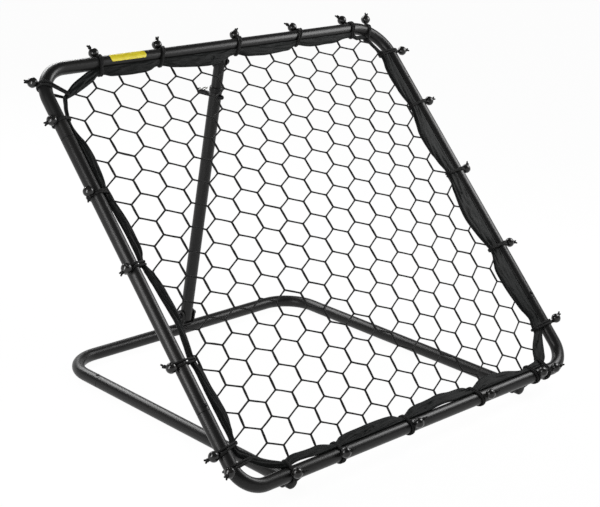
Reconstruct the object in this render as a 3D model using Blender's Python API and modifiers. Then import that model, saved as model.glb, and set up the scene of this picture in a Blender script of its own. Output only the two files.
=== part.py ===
"""Soccer rebounder: a tilted net frame hinged on a floor base and propped by a pinned telescopic strut.

Axes: +X to the right as seen by the player, -Y toward the player, +Z up. The origin lies on
the floor under the middle of the rear base bar. Units are metres.
"""
from math import acos, atan2, cos, pi, radians, sin, sqrt

import bmesh
import bpy
from mathutils import Matrix, Vector

# Tube stock
TUBE_D = 0.0254
TUBE_WALL = 0.0012
TUBE_SIDES = 12
BEND_STEPS = 6

# Front frame, between tube axes
FRAME_WIDTH = 0.886
FRAME_HEIGHT = 0.8402
FRAME_LEAN = radians(44.05)
FRAME_BAR_Z = 0.0405
TOP_BEND_LEFT = 0.060
TOP_BEND_RIGHT = 0.074
BOTTOM_BEND = 0.050
LOWER_ARM = 0.150
UPPER_ARM = 0.1422

# Floor base, between tube axes
BASE_DEPTH = 0.6882
LEG_SPACING = 0.6326
REAR_BEND = 0.075
LEG_JOINT_BACK = 0.125
LEG_END_BEHIND_BAR = 0.012
CAP_LENGTH = 0.006
CAP_PLUG = 0.014

# Tube joints
SPIGOT_LENGTH = 0.040
SPIGOT_FIT = 0.0004
JOINT_GAP = 0.0006
SHOULDER = 0.0008
BUTTON_D = 0.0066
BUTTON_SETBACK = 0.009
BUTTON_PROUD = 0.0020
BUTTON_FLANGE_D = 0.0090
BUTTON_FLANGE_T = 0.0012

# Fits
TOUCH = 0.0003
PIN_FIT = 0.0003
SIDE_GAP = 0.0006

# Frame hinges, on the front ends of the legs
HINGE_BEHIND_BAR = 0.026
EAR_T = 0.0025
EAR_RADIUS = 0.009
BOLT_D = 0.008
BOLT_HEAD_D = 0.013
BOLT_HEAD_T = 0.0050
NUT_T = 0.0062
BOLT_END = 0.0025

# Strut
FOOT_PIVOT_Y = -0.007
FOOT_PIVOT_Z = 0.046
FOOT_PLATE = 0.003
FOOT_PLATE_LENGTH = 0.030
FOOT_EAR_TOP = 0.012
STRUT_TAIL = 0.0105
HEAD_DROP = 0.033
HEAD_EAR_ROOT = 0.007
HEAD_TAIL = 0.008
HEAD_PLAY = 0.0022
UPPER_D = 0.0222
UPPER_WALL = 0.0012
RIM_BELOW_HEAD = 0.0620
UPPER_LENGTH = 0.420
COLLAR_LENGTH = 0.011
COLLAR_D = 0.0276
SLIDE_TRAVEL = 0.140

# Locking pin and its ring
PIN_D = 0.0095
PIN_BELOW_RIM = 0.004
PIN_NOSE = 0.024
PIN_DROOP = radians(8.0)
TAB_T = 0.004
TAB_START = 0.0185
TAB_EYE = 0.049
TAB_NECK_H = 0.0095
TAB_EYE_R = 0.0065
EYE_D = 0.0046
RING_D = 0.0205
RING_WIRE = 0.0024
RING_REST = radians(150.0)
RING_POINTS = 20

# Hem and net, distances measured inward from the tube axes
HEM_T = 0.008
HEM_AT_TIE = {"top": 0.022, "right": 0.027, "bottom": 0.0215, "left": 0.023}
HEM_MID = {"top": 0.031, "right": 0.040, "bottom": 0.035, "left": 0.036}
HEM_OUTER_MID = {"top": 0.0136, "right": 0.0136, "bottom": 0.0136, "left": 0.0190}
HEM_CORNER_HALF = 0.007
# Shares of the way from tie to tie, and how much of its full width the hem has there
HEM_SWELL = ((0.17, 0.6), (0.36, 1.0), (0.64, 1.0), (0.83, 0.6))
NET_PITCH_U = 0.0629
NET_PITCH_V = 0.0428
NET_RISE = 0.0156
NET_START_U = 0.0638
NET_START_V = 0.0215
NET_LEAN = -0.0144
NET_TILT = 0.0137
NET_BOW_U = -0.0125
NET_SHEAR = 0.0080
NET_HALF_SPAN = 0.400
NET_STRAND = 0.0026
NET_EDGE_INSET = 0.019
NET_SNAP = 0.004
NET_LEAST_STEP = 0.010
CORNER_ROOM = 0.002
NET_ROWS = 22
NET_COLUMNS = 10

# Ties: the ball and the doubled elastic cord through it
BALL_D = 0.020
BALL_OUT = 0.0240
BALL_SHIFT = 0.0080
BAND_WIDTH = 0.0072
BAND_T = 0.0030
BALL_BEHIND = 0.002
# How far out the band's flats stand, as a share of the circle that they clear
BAND_REACH = 1.06
# Places as shares of half the bar from its middle, and of the side's height
TIES_TOP = (-0.686, -0.354, 0.086, 0.455, 0.804)
TIES_RIGHT = (0.912, 0.757, 0.556, 0.333, 0.1095)
TIES_BOTTOM = (0.760, 0.368, -0.088, -0.506, -0.768)
TIES_LEFT = (0.089, 0.290, 0.518, 0.695, 0.871)

# Corner ties, named for the side before the corner: direction on the bend, how far in the hem lies,
# and how far past the bend's end the tie sits on the bottom bar
CORNER_TIES = {
    "top": (radians(54.0), 0.0215, 0.0),
    "right": (radians(270.0), 0.0205, -0.022),
    "bottom": (radians(188.6), 0.036, 0.0),
    "left": (radians(155.4), 0.0494, 0.0),
}
# Steps along the hem from each corner tie, back to the side before and on to the side after
HEM_CORNER_RUN = {
    "top": ((-0.020, 0.004), (0.008, -0.022)),
    "right": ((0.015, 0.030), (-0.014, -0.0005)),
    "bottom": ((0.042, -0.015), (-0.008, 0.012)),
    "left": ((-0.020, -0.023), (0.040, 0.021)),
}

# Yellow panel on the top bar
LABEL_START = -0.281
LABEL_LENGTH = 0.082
LABEL_HEIGHT = 0.017
LABEL_T = 0.0003
LABEL_TURN = radians(4.5)

# Worked out from the values above
HELD_HALF = BAND_WIDTH / 2 + TOUCH
TUBE_R = TUBE_D / 2
UPPER_R = UPPER_D / 2
HALF_W = FRAME_WIDTH / 2
LOWER_JOINT_V = LOWER_ARM
UPPER_JOINT_V = FRAME_HEIGHT - UPPER_ARM
LEG_X = LEG_SPACING / 2
FACET = cos(pi / TUBE_SIDES)
BASE_Z = TUBE_R * FACET
LOWER_BORE_R = TUBE_R - TUBE_WALL
SPIGOT_R = LOWER_BORE_R - SPIGOT_FIT
FRAME_UP = Vector((0, sin(FRAME_LEAN), cos(FRAME_LEAN)))
FRAME_OUT = Vector((0, -cos(FRAME_LEAN), sin(FRAME_LEAN)))
FRAME_ORIGIN = Vector((0, -BASE_DEPTH, FRAME_BAR_Z))
HINGE = Vector((0, -BASE_DEPTH + HINGE_BEHIND_BAR, BASE_Z))
FOOT = Vector((0, FOOT_PIVOT_Y, FOOT_PIVOT_Z))
TOP_BAR = FRAME_ORIGIN + FRAME_UP * FRAME_HEIGHT
HEAD = TOP_BAR + (FOOT - TOP_BAR).normalized() * HEAD_DROP
STRUT_LENGTH = (HEAD - FOOT).length
LOWER_LENGTH = STRUT_LENGTH - RIM_BELOW_HEAD
PIN_S = LOWER_LENGTH - PIN_BELOW_RIM - PIN_D / 2

model = None
guides = None


def clear_scene():
    for old in list(bpy.data.objects):
        bpy.data.objects.remove(old, do_unlink=True)


def make_collection(name):
    collection = bpy.data.collections.new(name)
    bpy.context.scene.collection.children.link(collection)
    return collection


def finish(piece, color, roughness, metallic):
    material = bpy.data.materials.new(piece.name)
    material.use_nodes = True
    shader = material.node_tree.nodes["Principled BSDF"]
    shader.inputs["Base Color"].default_value = (*color, 1)
    shader.inputs["Roughness"].default_value = roughness
    shader.inputs["Metallic"].default_value = metallic
    piece.data.materials.clear()
    piece.data.materials.append(material)
    piece.data.shade_smooth()
    piece.data.set_sharp_from_angle(angle=radians(40))
    return piece


def powder_coat(piece):
    return finish(piece, (0.022, 0.023, 0.025), 0.42, 0.0)


def black_plastic(piece):
    return finish(piece, (0.012, 0.012, 0.013), 0.5, 0.0)


def zinc(piece):
    return finish(piece, (0.42, 0.42, 0.41), 0.35, 1.0)


def black_zinc(piece):
    return finish(piece, (0.03, 0.03, 0.032), 0.4, 0.0)


def fabric(piece):
    return finish(piece, (0.016, 0.018, 0.018), 0.85, 0.0)


def axes_empty(name, origin, x, y, z, parent=None):
    """An empty whose local axes are x, y and z, in world coordinates."""
    empty = bpy.data.objects.new(name, None)
    model.objects.link(empty)
    world = Matrix((x, y, z)).transposed().to_4x4()
    world.translation = origin
    empty.parent = parent
    if parent:
        empty.matrix_parent_inverse = Matrix.Identity(4)
        empty.matrix_local = parent.matrix_world.inverted() @ world
    else:
        empty.matrix_local = world
    bpy.context.view_layer.update()
    return empty


def place(name, mesh, parent=None, collection=None):
    piece = bpy.data.objects.new(name, mesh)
    mesh.name = name
    (collection or model).objects.link(piece)
    piece.parent = parent
    return piece


def guide(name, mesh, parent=None):
    piece = place(name, mesh, parent, guides)
    piece.hide_render = True
    piece.display_type = "WIRE"
    return piece


def combine(piece, other, operation):
    change = piece.modifiers.new(other.name, "BOOLEAN")
    change.operation = operation
    change.object = other
    change.solver = "EXACT"
    return piece


def cut(piece, mesh):
    return combine(piece, guide(piece.name + "_cut", mesh, piece.parent), "DIFFERENCE")


def join(piece, mesh):
    return combine(piece, guide(piece.name + "_join", mesh, piece.parent), "UNION")


def from_bmesh(work):
    bmesh.ops.recalc_face_normals(work, faces=work.faces)
    mesh = bpy.data.meshes.new("shape")
    work.to_mesh(mesh)
    work.free()
    return mesh


def from_curve(curve):
    """The curve's mesh, with its loose caps welded on."""
    holder = bpy.data.objects.new("holder", curve)
    guides.objects.link(holder)
    bpy.context.view_layer.update()
    evaluated = holder.evaluated_get(bpy.context.evaluated_depsgraph_get())
    mesh = bpy.data.meshes.new_from_object(evaluated)
    bpy.data.objects.remove(holder, do_unlink=True)
    work = bmesh.new()
    work.from_mesh(mesh)
    bmesh.ops.remove_doubles(work, verts=work.verts, dist=0.00001)
    return from_bmesh(work)


def poly_curve(points, radius, sides, closed=False, caps=True, factors=None, turn=0.0):
    curve = bpy.data.curves.new("line", "CURVE")
    curve.dimensions = "3D"
    curve.bevel_depth = radius
    curve.bevel_resolution = sides // 2 - 2
    curve.use_fill_caps = caps
    spline = curve.splines.new("POLY")
    spline.points.add(len(points) - 1)
    for i, point in enumerate(points):
        spline.points[i].co = (*point, 1)
        spline.points[i].tilt = turn
        spline.points[i].radius = factors[i] if factors else 1.0
    spline.use_cyclic_u = closed
    return curve


def rod(points, radius, sides=8, closed=False, factors=None, turn=0.0):
    return from_curve(poly_curve(points, radius, sides, closed, not closed, factors, turn))


def pipe(name, points, radius, wall, parent=None, factors=None, turn=0.0):
    """A hollow tube with open ends along the points."""
    mesh = from_curve(poly_curve(points, radius, TUBE_SIDES, False, False, factors, turn))
    piece = place(name, mesh, parent)
    shell = piece.modifiers.new("wall", "SOLIDIFY")
    shell.thickness = wall
    shell.offset = -1
    shell.use_even_offset = True
    return piece


def bar(radius, start, end, sides=16):
    """A solid cylinder between two points."""
    start = Vector(start)
    end = Vector(end)
    work = bmesh.new()
    bmesh.ops.create_cone(work, cap_ends=True, segments=sides, radius1=radius, radius2=radius,
                          depth=(end - start).length)
    turn = (end - start).to_track_quat("Z", "Y").to_matrix().to_4x4()
    move = Matrix.Translation((start + end) / 2)
    bmesh.ops.transform(work, matrix=move @ turn, verts=work.verts)
    return from_bmesh(work)


def block(size, centre):
    work = bmesh.new()
    bmesh.ops.create_cube(work, size=1.0)
    bmesh.ops.scale(work, vec=Vector(size), verts=work.verts)
    bmesh.ops.translate(work, vec=Vector(centre), verts=work.verts)
    return from_bmesh(work)


def ball(radius, centre, rings, sides):
    work = bmesh.new()
    bmesh.ops.create_uvsphere(work, u_segments=sides, v_segments=rings, radius=radius)
    bmesh.ops.translate(work, vec=Vector(centre), verts=work.verts)
    return from_bmesh(work)


def turned(profile, sides, axis_matrix):
    """A turned solid. The profile is (radius, height) pairs that start and end on the axis."""
    work = bmesh.new()
    last = None
    edges = []
    verts = []
    for radius, height in profile:
        vert = work.verts.new((radius, 0, height))
        verts.append(vert)
        if last:
            edges.append(work.edges.new((last, vert)))
        last = vert
    bmesh.ops.spin(work, geom=verts + edges, axis=(0, 0, 1), cent=(0, 0, 0), angle=2 * pi,
                   steps=sides, use_merge=True)
    bmesh.ops.remove_doubles(work, verts=work.verts, dist=0.00001)
    bmesh.ops.transform(work, matrix=axis_matrix, verts=work.verts)
    return from_bmesh(work)


def along(origin, direction):
    """A matrix that turns +Z to the direction and moves to the origin."""
    turn = Vector(direction).to_track_quat("Z", "Y").to_matrix().to_4x4()
    return Matrix.Translation(origin) @ turn


def belt(centre_a, radius_a, centre_b, radius_b, steps_a, steps_b):
    """Points round two circles in a plane, as a belt runs round two pulleys."""
    line = Vector(centre_b) - Vector(centre_a)
    heading = atan2(line.y, line.x)
    open_angle = acos((radius_a - radius_b) / line.length)
    points = []
    for i in range(steps_a + 1):
        angle = heading + open_angle + (2 * pi - 2 * open_angle) * i / steps_a
        points.append(Vector(centre_a) + Vector((cos(angle), sin(angle))) * radius_a)
    for i in range(steps_b + 1):
        angle = heading - open_angle + 2 * open_angle * i / steps_b
        points.append(Vector(centre_b) + Vector((cos(angle), sin(angle))) * radius_b)
    return points


def plate(outlines, thickness, x_axis, y_axis, origin):
    """A flat plate centred on the plane through the origin. Outlines after the first are openings."""
    curve = bpy.data.curves.new("outline", "CURVE")
    curve.dimensions = "2D"
    curve.fill_mode = "BOTH"
    curve.extrude = thickness / 2
    for points in outlines:
        spline = curve.splines.new("POLY")
        spline.points.add(len(points) - 1)
        for i, point in enumerate(points):
            spline.points[i].co = (point[0], point[1], 0, 1)
        spline.use_cyclic_u = True
    mesh = from_curve(curve)
    x_axis = Vector(x_axis)
    y_axis = Vector(y_axis)
    world = Matrix((x_axis, y_axis, x_axis.cross(y_axis))).transposed().to_4x4()
    world.translation = Vector(origin)
    mesh.transform(world)
    return mesh


def arc(centre, radius, start, end, steps):
    """Points on an arc in a plane, from one angle to another."""
    points = []
    for i in range(steps + 1):
        angle = start + (end - start) * i / steps
        points.append((centre[0] + radius * cos(angle), centre[1] + radius * sin(angle)))
    return points


def with_spigots(points, radius, spigot_radius, both=True):
    """The points with a thinner plug past each end, below a short shoulder, and their radius factors."""
    thin = spigot_radius / radius
    start = (points[0] - points[1]).normalized()
    head = [points[0] + start * SPIGOT_LENGTH, points[0], points[0] - start * SHOULDER]
    if not both:
        return head + points[1:], [thin, thin] + [1.0] * len(points)
    end = (points[-1] - points[-2]).normalized()
    tail = [points[-1] - end * SHOULDER, points[-1], points[-1] + end * SPIGOT_LENGTH]
    return head + points[1:-1] + tail, [thin, thin] + [1.0] * len(points) + [thin, thin]


def flat(points):
    return [Vector((x, y, 0)) for x, y in points]


def build_frame_tubes(axes):
    top = FRAME_HEIGHT
    half_turn = pi / TUBE_SIDES
    start = [(-HALF_W, UPPER_JOINT_V + JOINT_GAP / 2)]
    left = arc((-HALF_W + TOP_BEND_LEFT, top - TOP_BEND_LEFT), TOP_BEND_LEFT, pi, pi / 2, BEND_STEPS)
    right = arc((HALF_W - TOP_BEND_RIGHT, top - TOP_BEND_RIGHT), TOP_BEND_RIGHT, pi / 2, 0, BEND_STEPS)
    end = [(HALF_W, UPPER_JOINT_V + JOINT_GAP / 2)]
    points, factors = with_spigots(flat(start + left + right + end), TUBE_R, SPIGOT_R)
    tubes = [pipe("top_frame_tube", points, TUBE_R, TUBE_WALL, axes, factors, half_turn)]
    start = [(-HALF_W, LOWER_JOINT_V - JOINT_GAP / 2)]
    left = arc((-HALF_W + BOTTOM_BEND, BOTTOM_BEND), BOTTOM_BEND, pi, 1.5 * pi, BEND_STEPS)
    right = arc((HALF_W - BOTTOM_BEND, BOTTOM_BEND), BOTTOM_BEND, 1.5 * pi, 2 * pi, BEND_STEPS)
    end = [(HALF_W, LOWER_JOINT_V - JOINT_GAP / 2)]
    points, factors = with_spigots(flat(start + left + right + end), TUBE_R, SPIGOT_R)
    tubes.append(pipe("bottom_frame_tube", points, TUBE_R, TUBE_WALL, axes, factors, half_turn))
    for side, x in (("left", -HALF_W), ("right", HALF_W)):
        line = flat([(x, LOWER_JOINT_V + JOINT_GAP / 2), (x, UPPER_JOINT_V - JOINT_GAP / 2)])
        tubes.append(pipe(side + "_frame_tube", line, TUBE_R, TUBE_WALL, axes, None, half_turn))
    for tube in tubes:
        powder_coat(tube)
    return {tube.name: tube for tube in tubes}


def build_base_tubes():
    half_turn = pi / TUBE_SIDES
    start = [(-LEG_X, -LEG_JOINT_BACK + JOINT_GAP / 2)]
    left = arc((-LEG_X + REAR_BEND, -REAR_BEND), REAR_BEND, pi, pi / 2, BEND_STEPS)
    right = arc((LEG_X - REAR_BEND, -REAR_BEND), REAR_BEND, pi / 2, 0, BEND_STEPS)
    end = [(LEG_X, -LEG_JOINT_BACK + JOINT_GAP / 2)]
    line = [Vector((x, y, BASE_Z)) for x, y in start + left + right + end]
    tubes = [pipe("rear_base_tube", line, TUBE_R, TUBE_WALL, None, None, half_turn)]
    front = -BASE_DEPTH + LEG_END_BEHIND_BAR + CAP_LENGTH
    for side, x in (("left", -LEG_X), ("right", LEG_X)):
        ends = [Vector((x, -LEG_JOINT_BACK - JOINT_GAP / 2, BASE_Z)), Vector((x, front, BASE_Z))]
        points, factors = with_spigots(ends, TUBE_R, SPIGOT_R, False)
        leg = pipe(side + "_leg_tube", points, TUBE_R, TUBE_WALL, None, factors, half_turn)
        cut(leg, bar(BOLT_D / 2 + PIN_FIT, (x - TUBE_D, HINGE.y, HINGE.z), (x + TUBE_D, HINGE.y, HINGE.z)))
        tubes.append(leg)
        black_plastic(build_cap(side, x, front))
    for tube in tubes:
        powder_coat(tube)
    return {tube.name: tube for tube in tubes}


def build_cap(side, x, front):
    """A domed end cap whose plug sits in the leg's open front end."""
    plug = LOWER_BORE_R * FACET - TOUCH
    seat = TOUCH
    profile = [(0, CAP_LENGTH), (TUBE_R * 0.55, CAP_LENGTH * 0.93), (TUBE_R * 0.86, CAP_LENGTH * 0.62),
               (TUBE_R * FACET, seat + 0.001), (TUBE_R * FACET, seat), (plug, seat), (plug, -CAP_PLUG),
               (0, -CAP_PLUG)]
    cap = place(side + "_leg_cap", turned(profile, TUBE_SIDES, along((x, front, BASE_Z), (0, -1, 0))))
    reach = TUBE_R
    return cut(cap, bar(BOLT_D / 2 + PIN_FIT, (x - reach, HINGE.y, HINGE.z), (x + reach, HINGE.y, HINGE.z)))


def build_buttons(frame_axes, frame_tubes, base_tubes):
    """Sprung buttons that hold each plug in its socket, and the holes that they come through."""
    above = BUTTON_SETBACK
    out = Vector((0, 0, 1))
    spots = (
        ("left_lower_button", frame_axes, (-HALF_W, LOWER_JOINT_V + above, 0), out,
         frame_tubes["left_frame_tube"], frame_tubes["bottom_frame_tube"]),
        ("right_lower_button", frame_axes, (HALF_W, LOWER_JOINT_V + above, 0), out,
         frame_tubes["right_frame_tube"], frame_tubes["bottom_frame_tube"]),
        ("left_upper_button", frame_axes, (-HALF_W, UPPER_JOINT_V - above, 0), -out,
         frame_tubes["left_frame_tube"], frame_tubes["top_frame_tube"]),
        ("right_upper_button", frame_axes, (HALF_W, UPPER_JOINT_V - above, 0), Vector((1, 0, 0)),
         frame_tubes["right_frame_tube"], frame_tubes["top_frame_tube"]),
        ("left_leg_button", None, (-LEG_X, -LEG_JOINT_BACK + above, BASE_Z), out,
         base_tubes["rear_base_tube"], base_tubes["left_leg_tube"]),
        ("right_leg_button", None, (LEG_X, -LEG_JOINT_BACK + above, BASE_Z), out,
         base_tubes["rear_base_tube"], base_tubes["right_leg_tube"]),
    )
    bore = SPIGOT_R * FACET - TUBE_WALL
    flange_top = sqrt(bore ** 2 - (BUTTON_FLANGE_D / 2) ** 2) - TOUCH
    for name, parent, spot, direction, socket, plug in spots:
        centre = Vector(spot)
        for tube in (socket, plug):
            drill = bar(BUTTON_D / 2 + PIN_FIT, centre, centre + direction * TUBE_D, 12)
            combine(tube, guide(name + "_hole", drill, tube.parent), "DIFFERENCE")
        top = TUBE_R + BUTTON_PROUD
        profile = [(0, top), (BUTTON_D * 0.33, top - 0.0003), (BUTTON_D / 2, top - 0.0012),
                   (BUTTON_D / 2, flange_top), (BUTTON_FLANGE_D / 2, flange_top),
                   (BUTTON_FLANGE_D / 2, flange_top - BUTTON_FLANGE_T), (0, flange_top - BUTTON_FLANGE_T)]
        button = place(name, turned([(r, h - flange_top) for r, h in profile], 8, Matrix.Identity(4)))
        button.parent = parent
        button.matrix_local = along(centre + direction * flange_top, direction)
        black_zinc(button)


def bolt_mesh(x_left, x_right, y, z):
    """A bolt along X with its domed head on the left and its nut on the right."""
    grip = TOUCH
    left = Vector((x_left - grip, y, z))
    right = Vector((x_right + grip, y, z))
    head = BOLT_HEAD_D / 2
    shank = BOLT_D / 2
    length = right.x - left.x
    nut_end = length + NUT_T
    end = nut_end + BOLT_END
    profile = [(0, -BOLT_HEAD_T), (head * 0.55, -BOLT_HEAD_T * 0.9), (head * 0.9, -BOLT_HEAD_T * 0.5),
               (head, 0), (shank, 0), (shank, length), (head, length), (head, nut_end), (shank, nut_end),
               (shank * 0.8, end), (0, end)]
    return turned(profile, 10, along(left, (1, 0, 0)))


def hole(piece, radius, centre, reach, direction=(1, 0, 0)):
    centre = Vector(centre)
    step = Vector(direction) * reach
    return cut(piece, bar(radius, centre - step, centre + step, 12))


def build_hinges(frame_axes):
    """Welded ears under the bottom bar that straddle each leg, and their bolts."""
    seat = FRAME_ORIGIN.yz
    pivot = HINGE.yz
    pull = (seat - pivot).normalized()
    root = seat - pull * (TUBE_R * 0.75)
    outline = belt(pivot, EAR_RADIUS, root, EAR_RADIUS, 10, 4)
    inner = TUBE_R + SIDE_GAP
    for side, x in (("left", -LEG_X), ("right", LEG_X)):
        outward = -1 if x < 0 else 1
        for which, sign in (("outer", outward), ("inner", -outward)):
            middle = x + sign * (inner + EAR_T / 2)
            mesh = plate([outline], EAR_T, (0, 1, 0), (0, 0, 1), (middle, 0, 0))
            ear = place(side + "_hinge_ear_" + which, mesh)
            cut(ear, bar(TUBE_R + TOUCH, (middle - 0.01, *seat), (middle + 0.01, *seat), 24))
            hole(ear, BOLT_D / 2 + PIN_FIT, (middle, *pivot), 0.01)
            keep_world(ear, frame_axes)
            powder_coat(ear)
        edge = inner + EAR_T
        black_zinc(place(side + "_hinge_bolt", bolt_mesh(x - edge, x + edge, HINGE.y, HINGE.z)))


def keep_world(piece, parent):
    """Parents the piece, and its guides, without moving them."""
    inverse = parent.matrix_world.inverted()
    piece.parent = parent
    piece.matrix_parent_inverse = inverse
    for modifier in piece.modifiers:
        if modifier.type == "BOOLEAN":
            modifier.object.parent = parent
            modifier.object.matrix_parent_inverse = inverse


def build_foot():
    """The clevis on the rear bar, and the bolt that the strut turns on."""
    inner = TUBE_R + SIDE_GAP
    bar_top = BASE_Z + TUBE_R * FACET + TOUCH
    width = 2 * (inner + EAR_T)
    base = block((width, FOOT_PLATE_LENGTH, FOOT_PLATE), (0, 0, bar_top + FOOT_PLATE / 2))
    clevis = place("foot_clevis", base)
    half = FOOT_PLATE_LENGTH / 2
    ear = [(-half, bar_top + 0.0005), (half, bar_top + 0.0005)]
    ear += arc((FOOT_PIVOT_Y, FOOT_PIVOT_Z), FOOT_EAR_TOP, radians(10), radians(170), 8)
    for sign in (-1, 1):
        join(clevis, plate([ear], EAR_T, (0, 1, 0), (0, 0, 1), (sign * (inner + EAR_T / 2 - 0.00001), 0, 0)))
    hole(clevis, BOLT_D / 2 + PIN_FIT, FOOT, width)
    powder_coat(clevis)
    edge = inner + EAR_T
    black_zinc(place("foot_bolt", bolt_mesh(-edge, edge, FOOT_PIVOT_Y, FOOT_PIVOT_Z)))


def build_head(frame_axes):
    """Welded ears under the top bar, in line with the strut, and the bolt through its upper end."""
    inner = UPPER_R + SIDE_GAP
    hang = HEAD - TOP_BAR
    bar_axis = Vector((FRAME_HEIGHT, 0))
    drop = Vector((hang.dot(FRAME_UP), hang.dot(FRAME_OUT)))
    pivot = bar_axis + drop
    root = bar_axis + drop.normalized() * (TUBE_R * 0.75)
    outline = belt(pivot, EAR_RADIUS, root, HEAD_EAR_ROOT, 10, 4)
    for side, sign in (("left", -1), ("right", 1)):
        middle = sign * (inner + EAR_T / 2)
        mesh = plate([outline], EAR_T, (0, 1, 0), (0, 0, 1), (middle, 0, 0))
        ear = place("head_ear_" + side, mesh, frame_axes)
        cut(ear, bar(TUBE_R + TOUCH, (middle - 0.01, FRAME_HEIGHT, 0), (middle + 0.01, FRAME_HEIGHT, 0), 24))
        hole(ear, BOLT_D / 2 + PIN_FIT, (middle, *pivot), 0.01)
        powder_coat(ear)
    edge = inner + EAR_T
    black_zinc(place("head_bolt", bolt_mesh(-edge, edge, pivot.x, pivot.y), frame_axes))


def build_strut(axes):
    """The telescopic strut. Its local Z runs from the foot pivot up to the head."""
    half_turn = pi / TUBE_SIDES
    line = [Vector((0, 0, -STRUT_TAIL)), Vector((0, 0, LOWER_LENGTH))]
    lower = pipe("strut_lower_tube", line, TUBE_R, TUBE_WALL, axes, None, half_turn)
    hole(lower, BOLT_D / 2 + PIN_FIT, (0, 0, 0), TUBE_D)
    pin_way = Vector((0, cos(PIN_DROOP), -sin(PIN_DROOP)))
    hole(lower, PIN_D / 2 + PIN_FIT, (0, 0, PIN_S), TUBE_D, pin_way)
    powder_coat(lower)

    top = STRUT_LENGTH + HEAD_TAIL
    line = [Vector((0, 0, top - UPPER_LENGTH)), Vector((0, 0, top))]
    upper = pipe("strut_upper_tube", line, UPPER_R, UPPER_WALL, axes, None, half_turn)
    hole(upper, BOLT_D / 2 + HEAD_PLAY, (0, 0, STRUT_LENGTH), TUBE_D)
    slack = UPPER_R * sin(PIN_DROOP) + PIN_D / 2 + PIN_FIT
    slot_top = PIN_S + slack
    slot_low = PIN_S - SLIDE_TRAVEL - slack
    slot = (PIN_D + 2 * PIN_FIT, TUBE_D * 2, slot_top - slot_low)
    cut(upper, block(slot, (0, 0, (slot_top + slot_low) / 2)))
    powder_coat(upper)

    bore = UPPER_R + TOUCH
    collar_low = LOWER_LENGTH + TOUCH
    profile = [(bore, 0), (TUBE_R, 0), (COLLAR_D / 2, 0.001), (COLLAR_D / 2, COLLAR_LENGTH - 0.002),
               (TUBE_R, COLLAR_LENGTH), (bore, COLLAR_LENGTH), (bore, 0)]
    collar = place("strut_collar", ring_mesh(profile, TUBE_SIDES, collar_low), axes)
    black_plastic(collar)


def ring_mesh(profile, sides, base):
    """A turned ring whose closed profile never meets the axis."""
    work = bmesh.new()
    verts = [work.verts.new((radius, 0, base + height)) for radius, height in profile[:-1]]
    edges = [work.edges.new((verts[i], verts[(i + 1) % len(verts)])) for i in range(len(verts))]
    bmesh.ops.spin(work, geom=verts + edges, axis=(0, 0, 1), cent=(0, 0, 0), angle=2 * pi,
                   steps=sides, use_merge=True)
    bmesh.ops.remove_doubles(work, verts=work.verts, dist=0.00001)
    bmesh.ops.rotate(work, cent=(0, 0, 0), matrix=Matrix.Rotation(pi / sides, 3, "Z"), verts=work.verts)
    return from_bmesh(work)


def build_pin(strut_axes):
    """The locking pin with its flat tab, and the ring in the tab's eye."""
    world = strut_axes.matrix_world.to_3x3()
    way = world @ Vector((0, cos(PIN_DROOP), -sin(PIN_DROOP)))
    up = world @ Vector((0, sin(PIN_DROOP), cos(PIN_DROOP)))
    side = Vector((1, 0, 0))
    origin = strut_axes.matrix_world @ Vector((0, 0, PIN_S))
    pin_axes = axes_empty("pin_axes", origin, side, way, up, strut_axes)
    profile = [(0, 0), (PIN_D * 0.3, 0.0008), (PIN_D / 2, 0.004), (PIN_D / 2, PIN_NOSE + TAB_START + 0.003),
               (0, PIN_NOSE + TAB_START + 0.003)]
    pin = place("lock_pin", turned(profile, 12, along((0, -PIN_NOSE, 0), (0, 1, 0))), pin_axes)
    neck = TAB_NECK_H / 2
    outline = [(TAB_START, -neck)] + arc((TAB_EYE, 0), TAB_EYE_R, -pi / 2, pi / 2, 8) + [(TAB_START, neck)]
    join(pin, plate([outline], TAB_T, (0, 1, 0), (0, 0, 1), (0, 0, 0)))
    hole(pin, EYE_D / 2, (0, TAB_EYE, 0), TAB_T)
    black_zinc(pin)

    eye = pin_axes.matrix_world @ Vector((0, TAB_EYE, 0))
    ring_axes = axes_empty("ring_axes", eye, side, way, up, pin_axes)
    mean = RING_D / 2
    seat = EYE_D / 2 - RING_WIRE / 2 - 2 * TOUCH
    out = Vector((0, cos(RING_REST), sin(RING_REST)))
    angles = [2 * pi * i / RING_POINTS for i in range(RING_POINTS)]
    points = [out * (seat + mean * (1 - cos(a))) + side * (mean * sin(a)) for a in angles]
    ring = place("pull_ring", rod(points, RING_WIRE / 2, 6, True), ring_axes)
    zinc(ring)


def side_point(side, spot, depth):
    """A point of the frame plane at a place along a side, and a depth inward from its tube's axis."""
    if side == "top":
        return Vector((spot, FRAME_HEIGHT - depth))
    if side == "bottom":
        return Vector((spot, depth))
    if side == "left":
        return Vector((-HALF_W + depth, spot))
    return Vector((HALF_W - depth, spot))


def tie_spots():
    """Each side's ties in order round the frame, clockwise from the top left."""
    return (
        ("top", [share * HALF_W for share in TIES_TOP]),
        ("right", [share * FRAME_HEIGHT for share in TIES_RIGHT]),
        ("bottom", [share * HALF_W for share in TIES_BOTTOM]),
        ("left", [share * FRAME_HEIGHT for share in TIES_LEFT]),
    )


def held_circle(half):
    """The radius that a band clears round the hem, which is twice half wide there."""
    return sqrt(half ** 2 + (HEM_T / 2) ** 2) + TOUCH


def band_room(half):
    """How far past the hem's edge a band and its clearance reach."""
    return (held_circle(half) + BAND_T) * BAND_REACH - half + TOUCH


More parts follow.
